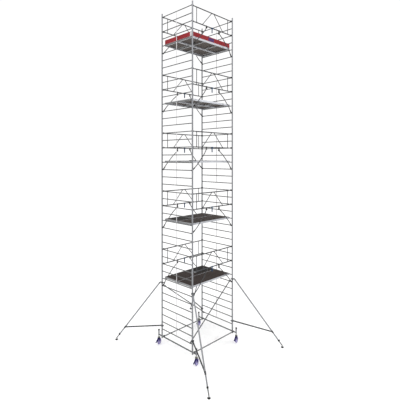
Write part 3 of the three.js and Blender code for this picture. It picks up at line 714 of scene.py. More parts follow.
def frame_rungs(half_width, rungs):
    """Rungs with anti-slip ribs along them; the ribs' edges stay sharp."""
    shell = Shell()
    shell.smooth_angle = 20
    outline = circle(RUNG_RADIUS, 64, RIB_DEPTH)
    reach = half_width - POST_RADIUS * 0.8
    for i in range(rungs):
        z = (i + 0.5) * RUNG_PITCH
        shell.sweep([(0, -reach, z), (0, 0, z), (0, reach, z)], outline)
    return shell


def spring_clips(half_width):
    """Locking pins through the sockets, each with its wire bow round the post."""
    shell = Shell()
    r = POST_RADIUS
    for side in (-1, 1):
        y = side * half_width
        for z in CLIP_HEIGHTS:
            shell.tube((-r - 0.006, y, z), (r + 0.006, y, z), 0.004, sides=14)
            shell.revolve([(0, 0), (0.0065, 0.001), (0.0065, 0.004), (0, 0.005)], (-r - 0.005, y, z), X, 16)
            bow = []
            for i in range(21):
                angle = math.pi * i / 20
                along, out = math.cos(angle) * (r + BOW_GAP), math.sin(angle) * (r + BOW_GAP)
                bow.append((along, y + side * out, z + 0.012 * math.sin(angle)))
            shell.wire(bow, BOW_WIRE, 8)
    return shell


def build_end_frames():
    made = {}
    for end in ENDS:
        names = [f"end_frame_1m_{end}"] + [f"end_frame_2m_{end}_{level}" for level in LEVELS]
        for name in names:
            low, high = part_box(name)
            joint = low.z + SPIGOT_LENGTH
            height = high.z - joint
            rungs = round(height / RUNG_PITCH)
            half_width = (high.y - low.y) / 2 - POST_RADIUS
            if rungs not in made:
                made[rungs] = make_group(f"frame_{rungs}", (
                    ("posts", frame_tubes(half_width, height, rungs), TUBE, "aluminium"),
                    ("rungs", frame_rungs(half_width, rungs), RUNG_PAINTED_SHADE, "aluminium"),
                    ("middle", middle_upright(rungs), PAINTED_HIGHLIGHT_TUBE, "aluminium"),
                    ("spring_clips", spring_clips(half_width), ZINC, "zinc"),
                ))
            at = ((low.x + high.x) / 2, (low.y + high.y) / 2, joint)
            place_group(made[rungs], name.replace("end_frame", "frame"), "tower", at, 0, "posts", name)


build_end_frames()

HALF_BAY = (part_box("end_frame_1m_b")[0].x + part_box("end_frame_1m_b")[1].x) / 2


# ---- Guardrails ----

TOP_RAIL = 1.000
MIDDLE_RAIL = 0.500
STRUT_FOOT = -0.250
STRUT_FOOT_INSET = 0.028
ARM_SLIP = 0.006
CHEEK_SIDE = 0.0150
STRUT_BEND = 0.070
STRUT_SLEEVE = 0.130
PIVOT_X = 0.310
PIVOT_DROP = {-1: 0.075, 1: 0.122}
PIVOT_ABOVE_FOOT = 0.022
STRUT_STEP = 0.050
STEP_FROM_HEAD = 0.230
STEP_FROM_FOOT = 0.250
UPRIGHT_X = 0.770
VEE_TOP_X = 0.050
VEE_FOOT_X = 0.510
HANDLE_DROP = 0.165
HANDLE_X = -0.038


def guardrail_tubes():
    """The rails, uprights and inverted vee of one unit."""
    shell = Shell()
    reach = HALF_BAY - ARM_LENGTH + ARM_SLIP
    for z in (TOP_RAIL, MIDDLE_RAIL):
        shell.tube((-reach, 0, z), (reach, 0, z), RAIL_RADIUS, 0.002, 32)
    for side in (-1, 1):
        for top, foot in ((UPRIGHT_X, UPRIGHT_X), (VEE_TOP_X, VEE_FOOT_X)):
            head = Vector((side * top, 0, TOP_RAIL))
            tail = Vector((side * foot, 0, MIDDLE_RAIL))
            along = (tail - head).normalized()
            step = along * (RAIL_RADIUS * 0.7 / abs(along.z))
            shell.tube(head + step, tail - step, INFILL_RADIUS, 0, 22)
            edge = along * (RAIL_RADIUS * 1.05 / abs(along.z))
            weld_bead(shell, head + edge, along, INFILL_RADIUS, 0.002)
            weld_bead(shell, tail - edge, along, INFILL_RADIUS, 0.002)
    return shell


def pivot_height(side):
    return MIDDLE_RAIL - PIVOT_DROP[side] + PIVOT_ABOVE_FOOT


def strut_ends(side):
    """The pivot at the strut's head and the claw at its foot."""
    head = Vector((side * PIVOT_X, 0, pivot_height(side)))
    foot = Vector((side * (HALF_BAY - STRUT_FOOT_INSET), 0, STRUT_FOOT))
    return head, foot


def bent_path(points, radius, steps=7):
    """The path with each inner corner replaced by a smooth bend."""
    points = [Vector(p) for p in points]
    path = [points[0]]
    for before, here, after in zip(points, points[1:], points[2:]):
        start = here + (before - here).normalized() * radius
        end = here + (after - here).normalized() * radius
        for step in range(steps + 1):
            t = step / steps
            path.append(start * (1 - t) ** 2 + here * 2 * t * (1 - t) + end * t * t)
    return path + [points[-1]]


def guardrail_struts():
    """The folding struts, which step out past the platform's side."""
    shell = Shell()
    for side in (-1, 1):
        head, foot = strut_ends(side)
        along = (foot - head).normalized()
        out = Vector((0, -STRUT_STEP, 0))
        corners = [
            head - along * 0.010, head + along * STEP_FROM_HEAD + out,
            foot - along * STEP_FROM_FOOT + out, foot + along * 0.004,
        ]
        shell.wire(bent_path(corners, STRUT_BEND), STRUT_RADIUS, 22, Y)
    return shell


def guardrail_castings():
    """The cast arms and hooks on the rails' ends, and the plates at the struts' feet."""
    start = -RUNG_RADIUS - 0.0086
    outline = [
        (start + 0.002, -0.013), (start + 0.002, 0.015), (-0.044, 0.018), (-0.062, 0.030), (-0.050, -0.008),
        (-0.036, -0.015),
    ]
    plate = Shell()
    plate.prism(rounded(outline, 0.004), 0.020, bevel=0.002)
    arm = claw_arm(RUNG_RADIUS, RAIL_RADIUS)
    hook = claw_hook(RUNG_RADIUS)
    shell = both_ends(plate, STRUT_FOOT)
    for z in (TOP_RAIL, MIDDLE_RAIL):
        shell.join(both_ends(arm, z))
        shell.join(both_ends(hook, z))
    return shell


def guardrail_claws():
    """The black housings behind the hooks, and the moulded claws and sleeves at the struts' feet."""
    housing = claw_housing(RUNG_RADIUS)
    short = claw_housing(RUNG_RADIUS, 0.026, length=0.024)
    short.join(claw_hook(RUNG_RADIUS))
    shell = both_ends(short, STRUT_FOOT)
    for z in (TOP_RAIL, MIDDLE_RAIL):
        shell.join(both_ends(housing, z))
    r = STRUT_RADIUS
    sleeve = [
        (r + 0.0002, -STRUT_SLEEVE), (r + 0.0030, -STRUT_SLEEVE), (r + 0.0045, 0.003 - STRUT_SLEEVE),
        (r + 0.0045, -0.020), (r + 0.0030, -0.016), (r + 0.0002, -0.016),
    ]
    for side in (-1, 1):
        head, foot = strut_ends(side)
        along = (foot - head).normalized()
        last = (along * STEP_FROM_FOOT + Y * STRUT_STEP).normalized()
        shell.revolve(sleeve, foot, last, 28, loop=True)
    return shell


def rail_collar(shell, x, half_length):
    """A collar round the middle rail."""
    r, h = RAIL_RADIUS, half_length
    half = [(r + 0.0002, -h), (r + 0.0045, -h), (r + 0.0055, 0.003 - h)]
    shell.revolve(mirrored(half), (x, 0, MIDDLE_RAIL), X, 32, loop=True)


def guardrail_brackets():
    """Collars on the middle rail, and cheeks on both sides of each strut's head."""
    shell = Shell()
    for side in (-1, 1):
        top = MIDDLE_RAIL - RAIL_RADIUS * 0.90
        low = pivot_height(side) - 0.016
        cheek = rounded([(-0.018, top), (0.018, top), (0.016, low), (-0.016, low)], 0.008)
        rail_collar(shell, side * PIVOT_X, 0.020)
        for y in (-CHEEK_SIDE, CHEEK_SIDE):
            shell.prism(cheek, 0.0035, Matrix.Translation((side * PIVOT_X, y, 0)), 0.001)
    return shell


def guardrail_pivots():
    """Black pivot knobs on both sides of the cheeks."""
    shell = Shell()
    knob = [
        (0, 0.0), (0.019, 0.0), (0.020, 0.002), (0.020, 0.009), (0.017, 0.013), (0.008, 0.0145), (0, 0.0148),
    ]
    for side in (-1, 1):
        x = side * PIVOT_X
        z = pivot_height(side)
        for way in (-1, 1):
            shell.revolve(knob, (x, way * 0.0172, z), Y * way, 28)
        shell.tube((x, -0.0125, z), (x, 0.0125, z), 0.0165, sides=28)
    return shell


def guardrail_fasteners():
    """Bolts through the collars, and rivets in the cast arms."""
    shell = Shell()
    rivet = [(0, 0), (0.0042, 0.0), (0.0036, 0.0016), (0.0018, 0.0024), (0, 0.0026)]
    for side in (-1, 1):
        x = side * PIVOT_X
        for way in (-1, 1):
            bolt(shell, (x, way * 0.0168, MIDDLE_RAIL - 0.028), Y * way, 0.0042)
            bolt(shell, (x, way * 0.0320, pivot_height(side)), Y * way, 0.0045)
        for z in (TOP_RAIL, MIDDLE_RAIL):
            for step in (0.016, 0.034):
                at = side * (HALF_BAY - ARM_LENGTH - 0.004 - step)
                for y in (-1, 1):
                    shell.revolve(rivet, (at, y * (RAIL_RADIUS - 0.0004), z), Y * y, 14)
    return shell


def guardrail_handle():
    """A moulded grip hanging from the middle rail, with finger waves on one edge."""
    shell = Shell()
    rail_collar(shell, HANDLE_X, 0.034)
    top = MIDDLE_RAIL - RAIL_RADIUS * 0.9
    low = MIDDLE_RAIL - HANDLE_DROP
    half = 0.0205
    steps = 30
    edge = []
    for i in range(steps + 1):
        t = i / steps
        flare = 0.010 * max(0.0, 1 - t * 5) ** 2
        wave = 0.003 * (0.5 - 0.5 * math.cos(8 * math.pi * t))
        edge.append((half + flare - wave, top + (low + half - top) * t))
    end = arc((0.0, low + half), half, 0, -180, 12)
    back = [(-half, low + half), (-half, top - 0.028), (-half - 0.006, top - 0.008), (-half - 0.010, top)]
    shell.prism(edge + end[1:-1] + back, 0.023, Matrix.Translation((HANDLE_X, 0, 0)), 0.006)
    return shell


def build_guardrails():
    made = make_group("guardrail", (
        ("rails", guardrail_tubes(), RAIL_TUBE_PAINTED_SHADE, "rail_aluminium"),
        ("struts", guardrail_struts(), STRUT_TUBE_PAINTED_SHADE, "rail_aluminium"),
        ("arms", guardrail_castings(), CASTING, "claw_cast"),
        ("claws", guardrail_claws(), BLACK, "claw_black"),
        ("brackets", guardrail_brackets(), STRUT_TUBE_PAINTED_SHADE, "claw_cast"),
        ("pivots", guardrail_pivots(), BLACK, "claw_black"),
        ("fasteners", guardrail_fasteners(), ZINC, "zinc"),
        ("handle", guardrail_handle(), BLUE_HANDLE, "handle_blue"),
    ))
    for flank, turn in FLANK_TURNS.items():
        for level in LEVELS:
            name = f"guardrail_{flank}_{level}"
            at = (0, middle_y(name), rung_height(level))
            place_group(made, name, "tower", at, turn, "rails")


def rung_height(level):
    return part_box(f"platform_plain_{level}")[1].z - PLATFORM_TOP


build_guardrails()


# ---- Platforms ----

BOARD_THICKNESS = 0.012
SIDE_RAIL = 0.030
END_RAIL = 0.032
CROSS_RAIL = 0.030
LIP = 0.005
CLAW_INSET = 0.0425
PLAIN_CROSSINGS = (-0.300, 0.300)
HATCH_CROSSINGS = (-0.300, 0.065)
HATCH_START = 0.080
HATCH_END_GAP = 0.090
HATCH_SIDE_GAP = 0.070
HATCH_LEDGE = 0.015
HATCH_CLEARANCE = 0.003
HATCH_THICKNESS = 0.008
HINGE_X = 0.070
HINGE_Z = 0.064
HINGE_EYE = 0.0085
PIN_BORE = 0.0039
BARREL_HALF = 0.150
BARREL_RADIUS = 0.0069
PULL_X = 0.775
CLAW_SPACE = 0.060
UNDER_BOARD = PLATFORM_TOP - BOARD_THICKNESS
UNDER_LID = PLATFORM_TOP - HATCH_THICKNESS
RAIL_BOTTOM = PLATFORM_TOP - PLATFORM_DEPTH


def grown(rect, distance):
    """The rectangle (x0, y0, x1, y1) moved out by a distance on all four sides."""
    x0, y0, x1, y1 = rect
    return (x0 - distance, y0 - distance, x1 + distance, y1 + distance)


def plate_ring(shell, outer, inner, low, high, bevel=0.001):
    """A flat plate with a hole, or without one; outer and inner are (x0, y0, x1, y1)."""

    def ring(rect, inset, z):
        x0, y0, x1, y1 = grown(rect, -inset)
        return [(x, y, z) for x, y in rounded([(x0, y0), (x1, y0), (x1, y1), (x0, y1)], 0.004, 3)]

    b = bevel
    rings = [ring(outer, b, low), ring(outer, 0, low + b), ring(outer, 0, high - b), ring(outer, b, high)]
    if inner:
        rings += [ring(inner, -b, high), ring(inner, 0, high - b)]
        rings += [ring(inner, 0, low + b), ring(inner, -b, low)]
    shell.stack(rings, loop=bool(inner))


def platform_rails(half_length, half_width):
    """The channelled side rails."""
    shell = Shell()
    bottom = RAIL_BOTTOM
    top = PLATFORM_TOP
    ledge = UNDER_BOARD - 0.001
    outline = [
        (0.0, bottom + 0.002), (0.002, bottom), (0.028, bottom), (SIDE_RAIL, bottom + 0.002),
        (SIDE_RAIL, ledge), (LIP, ledge), (LIP, top - 0.001), (LIP - 0.001, top), (0.001, top),
        (0.0, top - 0.001), (0.0, top - 0.016), (0.0025, top - 0.018), (0.0025, bottom + 0.016),
        (0.0, bottom + 0.014),
    ]
    for side in (-1, 1):
        shape = [(a * side, b) for a, b in outline][::-side]
        rail = Shell()
        rail.sweep([(x, side * half_width, 0) for x in (half_length, 0, -half_length)], shape)
        rail.turn_outwards()
        shell.join(rail)
    return shell


def cross_rails(half_width, crossings):
    """Slim cross rails under the board."""
    shell = Shell()
    inside = half_width - SIDE_RAIL + 0.001
    half = CROSS_RAIL / 2
    for x in crossings:
        shell.box((x - half, -inside, RAIL_BOTTOM + 0.004), (x + half, inside, UNDER_BOARD - 0.0005), 0.002)
    return shell


def end_rails(half_length, half_width):
    """End rails between the side rails, with the lip that covers the board's edge."""
    shell = Shell()
    inside = half_width - SIDE_RAIL + 0.001
    top = UNDER_BOARD - 0.0005
    for side in (-1, 1):
        x0, x1 = sorted((side * half_length, side * (half_length - END_RAIL)))
        shell.box((x0, -inside, RAIL_BOTTOM), (x1, inside, top), 0.002)
        x0, x1 = sorted((side * half_length, side * (half_length - LIP)))
        shell.box((x0, -inside - 0.026, top - 0.002), (x1, inside + 0.026, PLATFORM_TOP), 0.001)
    return shell


def platform_rivets(half_length, half_width, crossings):
    """Dome rivets through the board, and the frame's corner rivets."""
    shell = Shell()
    dome = [(0, -0.001), (0.0065, -0.001), (0.0062, 0.0004), (0.0042, 0.0014), (0, 0.0018)]
    last = half_length - 0.020
    board = [(-last + i * 2 * last / 6, side * (half_width - 0.016)) for i in range(7) for side in (-1, 1)]
    board += [(x, y) for x in (-last, last, *crossings) for y in (-0.18, 0.0, 0.18)]
    for x, y in board:
        shell.revolve(dome, (x, y, PLATFORM_TOP - 0.0012), Z, 16)
    for side in (-1, 1):
        for end in (-1, 1):
            for step in (0.012, 0.030):
                at = (end * (half_length - step), side * (half_width + 0.0005), PLATFORM_TOP - 0.030)
                shell.revolve(dome, at, Y * side, 16)
    return shell


def platform_claws(half_length, half_width):
    """Cast hooks riveted to the end rails."""
    hook = claw_hook(RUNG_RADIUS, 0.030, 0.0080)
    back = -(HALF_BAY - half_length) - 0.004
    start = -RUNG_RADIUS - 0.0081
    shape = [
        (start + 0.002, -0.004), (start + 0.002, 0.019), (back + 0.012, 0.040), (back, 0.040),
        (back, -0.003), (back + 0.012, -0.003),
    ]
    plate = [(back + 0.003, -0.002), (back + 0.003, 0.042), (back - 0.001, 0.042), (back - 0.001, -0.002)]
    root = Shell()
    root.prism(rounded(shape, 0.004), 0.024, bevel=0.002)
    root.prism(rounded(plate, 0.001), 0.052, bevel=0.001)
    shell = Shell()
    for side in (-1, 1):
        for casting in (hook, root):
            shell.join(both_ends(casting, 0, side * (half_width - CLAW_INSET)))
    return shell


def wind_latches(half_width):
    """Swinging hooks that reach under the rung beside two of the claws."""
    shell = Shell()
    outline = arc((0, 0), RUNG_RADIUS + 0.0012, 190, 300, 12)
    outline += arc((0, 0), RUNG_RADIUS + 0.0062, 300, 186, 12)
    outline += [(-0.044, 0.012), (-0.040, 0.018), (-0.020, 0.008)]
    for end in (1, -1):
        place = Matrix.Translation((end * HALF_BAY, end * (half_width - CLAW_INSET - 0.026), 0))
        if end < 0:
            place = place @ Matrix.Rotation(math.pi, 4, "Z")
        shell.prism(outline, 0.006, place, 0.001)
        pin = place @ Vector((-0.040, 0, 0.014))
        shell.tube(pin - Y * 0.008, pin + Y * 0.008, 0.004, sides=12)
    return shell


def hatch_lugs():
    """The two hinge lugs that stand on the board, each bored for the pin."""
    shell = Shell()
    half = 0.0055
    foot = PLATFORM_TOP - 0.001
    hole = arc((HINGE_X, HINGE_Z), PIN_BORE, 0, 360, 18)[:-1]
    eye = []
    for x, z in arc((HINGE_X, HINGE_Z), HINGE_EYE, 0, 360, 18)[:-1]:
        z = max(z, foot)
        eye.append((HINGE_X + math.copysign(HINGE_EYE, x - HINGE_X), z) if z < HINGE_Z else (x, z))
    for side in (-1, 1):
        y = side * (BARREL_HALF + 0.0063)
        layers = ((eye, y - half), (eye, y + half), (hole, y + half), (hole, y - half))
        shell.stack([[(x, at, z) for x, z in outline] for outline, at in layers], loop=True)
    return shell


def hatch_hinge():
    """Barrel knuckles, leaf, pin heads and screws that turn with the lid."""
    shell = Shell()
    knuckles = 5
    length = 2 * BARREL_HALF / knuckles
    for i in range(knuckles):
        start = -BARREL_HALF + i * length + 0.0006
        end = start + length - 0.0012
        shell.tube((HINGE_X, start, HINGE_Z), (HINGE_X, end, HINGE_Z), BARREL_RADIUS, sides=28)
    pin_end = BARREL_HALF + 0.0088
    shell.tube((HINGE_X, -pin_end, HINGE_Z), (HINGE_X, pin_end, HINGE_Z), 0.0029, sides=16)
    top = PLATFORM_TOP + 0.004
    edge = HINGE_X + 0.079
    leaf = rounded([(HINGE_X, top), (edge, top), (edge, top - 0.0038), (HINGE_X, top - 0.0030)], 0.001)
    shell.prism(leaf, 2 * BARREL_HALF - 0.002, bevel=0.001)
    screw = [(0, -0.001), (0.006, -0.001), (0.0056, 0.0006), (0.003, 0.0016), (0, 0.0018)]
    for y in (-0.12, -0.04, 0.04, 0.12):
        for x in (0.026, 0.062):
            shell.revolve(screw, (HINGE_X + x, y, top), Z, 16)
    return shell


def hatch_ring():
    """A flush black pull near the lid's free edge: a dished plate with a folding bow."""
    shell = Shell()
    z = PLATFORM_TOP
    outline = rounded([(-0.024, -0.045), (0.024, -0.045), (0.024, 0.045), (-0.024, 0.045)], 0.020, 8)
    layers = ((1.0, 1.0, -0.001), (1.0, 1.0, 0.0022), (0.72, 0.82, 0.0022), (0.68, 0.80, 0.0004))
    shell.stack([
        [(PULL_X + x * along, y * across, z + lift) for x, y in outline]
        for along, across, lift in layers
    ])
    bow = []
    for angle in range(0, 181, 12):
        bow.append((PULL_X + 0.010 * math.sin(math.radians(angle)), -0.026 + 0.052 * angle / 180, z + 0.003))
    shell.wire(bow, 0.0021, 10)
    return shell


def platform_rows(half_length, half_width, crossings, riveted, board_rows):
    """What plain and hatch platforms have in common, with the boards between."""
    return [
        ("rails", platform_rails(half_length, half_width), PLATFORM_METAL, "platform_rail"),
        ("crossings", cross_rails(half_width, crossings), CROSS_METAL, "platform_rail"),
        ("ends", end_rails(half_length, half_width), PLATFORM_END_PAINTED_SHADE, "platform_rail"),
        *board_rows,
        ("claws", platform_claws(half_length, half_width), PLATFORM_END_PAINTED_SHADE, "claw_cast"),
        ("latches", wind_latches(half_width), BLACK, "claw_black"),
        ("rivets", platform_rivets(half_length, half_width, riveted), HINGE_DARK, "zinc"),
    ]


def build_platforms():
    low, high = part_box("platform_plain_1")
    half_length, half_width = HALF_BAY - CLAW_SPACE, (high.y - low.y) / 2
    board = (-half_length + LIP, -half_width + LIP, half_length - LIP, half_width - LIP)
    hatch_side = half_width - HATCH_SIDE_GAP
    recess = (HATCH_START, -hatch_side, half_length - HATCH_END_GAP, hatch_side)
    plain, cut_board, ledge, trim, lid = Shell(), Shell(), Shell(), Shell(), Shell()
    plate_ring(plain, board, None, UNDER_BOARD, PLATFORM_TOP - 0.0008)
    plate_ring(cut_board, board, recess, UNDER_BOARD, PLATFORM_TOP - 0.0008)
    hole = grown(recess, -HATCH_LEDGE)
    plate_ring(ledge, grown(recess, 0.012), hole, UNDER_BOARD - 0.006, UNDER_LID - 0.0004)
    edge = grown(recess, -0.0015)
    plate_ring(trim, grown(recess, 0.001), edge, UNDER_LID - 0.0006, PLATFORM_TOP - 0.0002, 0.0004)
    plate_ring(lid, grown(recess, -HATCH_CLEARANCE), None, UNDER_LID, PLATFORM_TOP, 0.0008)
    boards = {
        "plain": [("board", plain, BOARD, "platform_board")],
        "hatch": [
            ("board", cut_board, BOARD, "platform_board"),
            ("ledge", ledge, PLATFORM_METAL, "platform_rail"),
            ("trim", trim, HINGE_DARK, "galvanised"),
        ],
    }
    crossings = {"plain": PLAIN_CROSSINGS, "hatch": HATCH_CROSSINGS}
    riveted = {"plain": PLAIN_CROSSINGS, "hatch": HATCH_CROSSINGS[:1]}
    lugs = {"plain": [], "hatch": [("lugs", hatch_lugs(), HINGE_DARK, "galvanised")]}
    for kind in boards:
        rows = platform_rows(half_length, half_width, crossings[kind], riveted[kind], boards[kind])
        made = make_group(f"platform_{kind}", rows + lugs[kind])
        for level in LEVELS:
            name = f"platform_{kind}_{level}"
            at = (0, middle_y(name), rung_height(level))
            place_group(made, name, "tower", at, deck_turn(kind, level), "rails")
    made = make_group("hatch_lid", (
        ("board", lid, HATCH_BOARD, "hatch_board"),
        ("hinge", hatch_hinge(), HINGE_DARK, "galvanised"),
        ("pull", hatch_ring(), BLACK, "claw_black"),
    ))
    for level in LEVELS:
        name = f"hatch_{level}"
        at = (0, middle_y(f"platform_{name}"), rung_height(level))
        place_group(made, name, name, at, deck_turn("hatch", level), "board")


def deck_turn(kind, level):
    """Hatch platforms are turned end for end on every second level."""
    return math.pi if kind == "hatch" and level % 2 == 0 else 0.0


build_platforms()


# ---- Toe boards ----

TOE_THICKNESS = 0.025
LONG_LEG = 0.050
SHORT_LEG = 0.095
PATCH = (-0.165, 0.105)
CORNER_SKIN = 0.003


def toe_corner(half_length, half_width, low, high, side):
    """A moulded angle round the outside of one corner, its top edge bevelled."""
    inside = -TOE_THICKNESS - CORNER_SKIN
    outline = [
        (CORNER_SKIN, CORNER_SKIN), (CORNER_SKIN, -SHORT_LEG), (inside, -SHORT_LEG), (inside, inside),
        (-LONG_LEG, inside), (-LONG_LEG, CORNER_SKIN),
    ]
    outline = rounded([(half_length + x, half_width + y) for x, y in outline], 0.003, 3)
    outline = counter_clockwise([(side * x, side * y) for x, y in outline])
    layers = ((low - 0.0002, 0.0), (high + 0.0015, 0.0), (high + 0.003, -0.0015))
    shell = Shell()
    shell.stack([[(x, y, z) for x, y in offset_outline(outline, inset)] for z, inset in layers])
    return shell


def build_toe_boards():
    low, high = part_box("toe_board_set")
    half_length, half_width = high.x, high.y
    z0, z1 = low.z + 0.0005, high.z - 0.0005
    boards, corners, patch, fixings = Shell(), Shell(), Shell(), Shell()
    t = TOE_THICKNESS
    for side in (-1, 1):
        y0, y1 = sorted((side * half_width, side * (half_width - t)))
        boards.box((-half_length, y0, z0), (half_length, y1, z1), 0.0025)
        x0, x1 = sorted((side * half_length, side * (half_length - t)))
        boards.box((x0, -half_width + t + 0.001, z0), (x1, half_width - t - 0.001, z1), 0.0025)
        corners.join(toe_corner(half_length, half_width, z0, z1, side))
        for z in (z0 + 0.035, z1 - 0.035):
            bolt(fixings, (side * (half_length + 0.003), side * (half_width - 0.060), z), X * side, 0.0045)
            bolt(fixings, (side * (half_length - 0.028), side * (half_width + 0.003), z), Y * side, 0.0045)
    face = -half_width
    patch.box((PATCH[0], face - 0.0012, z0 + 0.010), (PATCH[1], face + 0.001, z1 - 0.026), 0.0004)
    made = make_group("toe", (
        ("boards", boards, TOE_RED, "toe_board_red"),
        ("corners", corners, WHITE, "toe_board_white"),
        ("patch", patch, PATCH_BLUE, "blue_patch"),
        ("fixings", fixings, ZINC, "zinc"),
    ))
    place_group(made, "toe_board", "tower", (0, 0, 0), 0, "boards", "toe_board_set")


build_toe_boards()


# ---- Base beams and braces ----

CASTOR_OFFSET = 0.175
SLEEVE_RADIUS = 0.0260
SLEEVE_LIFT = 0.045
SPINDLE_RADIUS = 0.0180
SPINDLE_GAP = 0.0012
DIAGONAL_RISE = 1.500
SHORT_ARM = 0.042
RUNGS_BELOW_PLATFORM = 8


def base_beam(half_width, beam_height):
    """The beam with its welds to the post stubs and the sleeves."""
    shell = Shell()
    reach = half_width + CASTOR_OFFSET
    end = reach - SLEEVE_RADIUS * 0.8
    shell.tube((0, -end, beam_height), (0, end, beam_height), BEAM_RADIUS, 0, 40)
    for side in (-1, 1):
        y = side * half_width
        for way in (-1, 1):
            weld_bead(shell, (0, y + way * POST_RADIUS, beam_height), Y * way, BEAM_RADIUS * 0.96, 0.003)
        at = (0, side * (reach - SLEEVE_RADIUS), beam_height)
        weld_bead(shell, at, Y * -side, BEAM_RADIUS * 0.94, 0.003)
    return shell


def castor_sleeves(half_width, stub_low, frame_start, low, high):
    """The posts' stubs and the sleeves that guide the castors' spindles."""
    shell = Shell()
    radius = SLEEVE_RADIUS - 0.001
    wall = radius - SPINDLE_RADIUS - SPINDLE_GAP
    for side in (-1, 1):
        y = side * half_width
        shell.tube((0, y, stub_low), (0, y, frame_start - TOUCH), POST_RADIUS + 0.0004, POST_WALL, 40)
        y = side * (half_width + CASTOR_OFFSET)
        shell.tube((0, y, low), (0, y, high - 0.024), radius, wall, 36)
    return shell


def sleeve_caps(half_width, high):
    """Moulded caps with grip ribs, round the spindle's top."""
    shell = Shell()
    inner = SPINDLE_RADIUS + SPINDLE_GAP
    outer = SLEEVE_RADIUS + 0.0022
    seat = SLEEVE_RADIUS - 0.0008
    profile = [
        (seat, 0), (outer - 0.001, 0), (outer, 0.001), (outer, 0.034), (outer - 0.003, 0.039),
        (inner, 0.040), (inner, 0.018), (seat, 0.018),
    ]
    base = high - 0.040
    for side in (-1, 1):
        y = side * (half_width + CASTOR_OFFSET)
        shell.revolve(profile, (0, y, base), Z, 36, loop=True)
        for i in range(12):
            angle = math.radians(30 * i)
            out = Vector((math.cos(angle), math.sin(angle), 0))
            centre = Vector((0, y, base + 0.018)) + out * (outer - 0.0004)
            shell.tube(centre - Z * 0.013, centre + Z * 0.013, 0.0019, sides=8)
    return shell


def beam_level():
    """The height of the beams' and level braces' axes: a whole number of rungs below the first platform."""
    return rung_height(1) - RUNGS_BELOW_PLATFORM * RUNG_PITCH


def build_base():
    for end in ENDS:
        name = f"base_beam_{end}"
        low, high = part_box(name)
        post_low, post_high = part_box(f"end_frame_1m_{end}")
        frame_start = post_low.z + SPIGOT_LENGTH
        half_width = (post_high.y - post_low.y) / 2 - POST_RADIUS
        sleeves = castor_sleeves(half_width, low.z, frame_start, low.z + SLEEVE_LIFT, high.z)
        made = make_group("base", (
            ("beam", base_beam(half_width, beam_level()), BEAM_METAL, "galvanised"),
            ("sleeves", sleeves, TUBE, "aluminium"),
            ("caps", sleeve_caps(half_width, high.z), BLACK, "claw_black"),
        ))
        place_group(made, name, "tower", ((low.x + high.x) / 2, 0, 0), 0, "beam")


build_base()


def level_brace():
    """The level tube between two arms."""
    shell = Shell()
    reach = HALF_BAY - ARM_LENGTH + ARM_SLIP
    shell.tube((-reach, 0, 0), (reach, 0, 0), BRACE_RADIUS, 0.002, 32)
    return shell


def sloping_ends(high_piece, low_piece, low_z, high_z):
    """One piece at the high end and one at the low end, turned to face the other way."""
    shell = Shell()
    shell.join(high_piece, Matrix.Translation((HALF_BAY, 0, high_z)))
    shell.join(low_piece, Matrix.Translation((-HALF_BAY, 0, low_z)) @ Matrix.Rotation(math.pi, 4, "Z"))
    return shell


def sloping_brace(low_z, high_z):
    """The diagonal tube."""
    shell = Shell()
    reach = HALF_BAY - SHORT_ARM + 0.004
    shell.tube((-reach, 0, low_z + 0.03), (reach, 0, high_z - 0.004), BRACE_RADIUS, 0, 32)
    return shell


def sloping_roots(low_z, high_z):
    """Cast roots that join the sloping tube's ends to their claws."""
    start = -RUNG_RADIUS - 0.0083
    nose = [(start, -0.015), (start, 0.020)]
    upper = nose + [(-0.040, 0.022), (-0.075, 0.006), (-0.075, -0.034), (-0.045, -0.022)]
    lower = nose + [(-0.045, 0.040), (-0.078, 0.056), (-0.078, 0.014), (-0.040, -0.012)]
    head, foot = Shell(), Shell()
    head.prism(rounded(upper, 0.005), 0.024, bevel=0.003)
    foot.prism(rounded(lower, 0.005), 0.024, bevel=0.003)
    return sloping_ends(head, foot, low_z, high_z)


def build_braces():
    level = make_group("level_brace", (
        ("tube", level_brace(), BRACE_TUBE, "rail_aluminium"),
        ("arms", both_ends(claw_arm(BEAM_RADIUS, BRACE_RADIUS), 0), CASTING, "claw_cast"),
        ("hooks", both_ends(claw_hook(BEAM_RADIUS), 0), CASTING, "claw_cast"),
        ("claws", both_ends(claw_housing(BEAM_RADIUS), 0), CLAMP_METAL, "claw_black"),
    ))
    low, high = RUNG_PITCH, RUNG_PITCH + DIAGONAL_RISE
    hook = claw_hook(RUNG_RADIUS)
    housing = claw_housing(RUNG_RADIUS, 0.028, length=0.020)
    sloping = make_group("diagonal", (
        ("tube", sloping_brace(low, high), BRACE_TUBE, "rail_aluminium"),
        ("roots", sloping_roots(low, high), CASTING, "claw_cast"),
        ("hooks", sloping_ends(hook, hook, low, high), CASTING, "claw_cast"),
        ("claws", sloping_ends(housing, housing, low, high), BLACK, "claw_black"),
    ))
    for kind, group in (("horizontal", level), ("diagonal", sloping)):
        for flank, turn in FLANK_TURNS.items():
            name = f"{kind}_brace_{flank}"
            at = (0, middle_y(name), beam_level())
            place_group(group, name, "tower", at, turn, "tube")


build_braces()


# ---- Castors ----

JOINTS = {joint["name"]: joint for joint in frame["joints"]}
WHEEL_RADIUS = 0.100
CASTOR_TRAIL = 0.025
CHEEK_Y = 0.032
CHEEK_THICKNESS = 0.0055
FORK_TOP = 0.226
CROWN_LENGTH = 0.084
NUT_TOP = 0.280
NUT_RADIUS = 0.045
NUT_NECK = 0.030
NUT_LOBES = 8
HUB_REACH = 0.028
CHEEK_BOLT = CHEEK_Y + 0.0026
THREAD_DEPTH = 0.0016
THREAD_PITCH = 0.006
PEDAL_REACH = 0.175


def loft(shell, layers):
    """Outlines of (x, y) at heights, joined one above the other and capped."""
    shell.stack([[(x, y, z) for x, y in outline] for z, outline in layers])


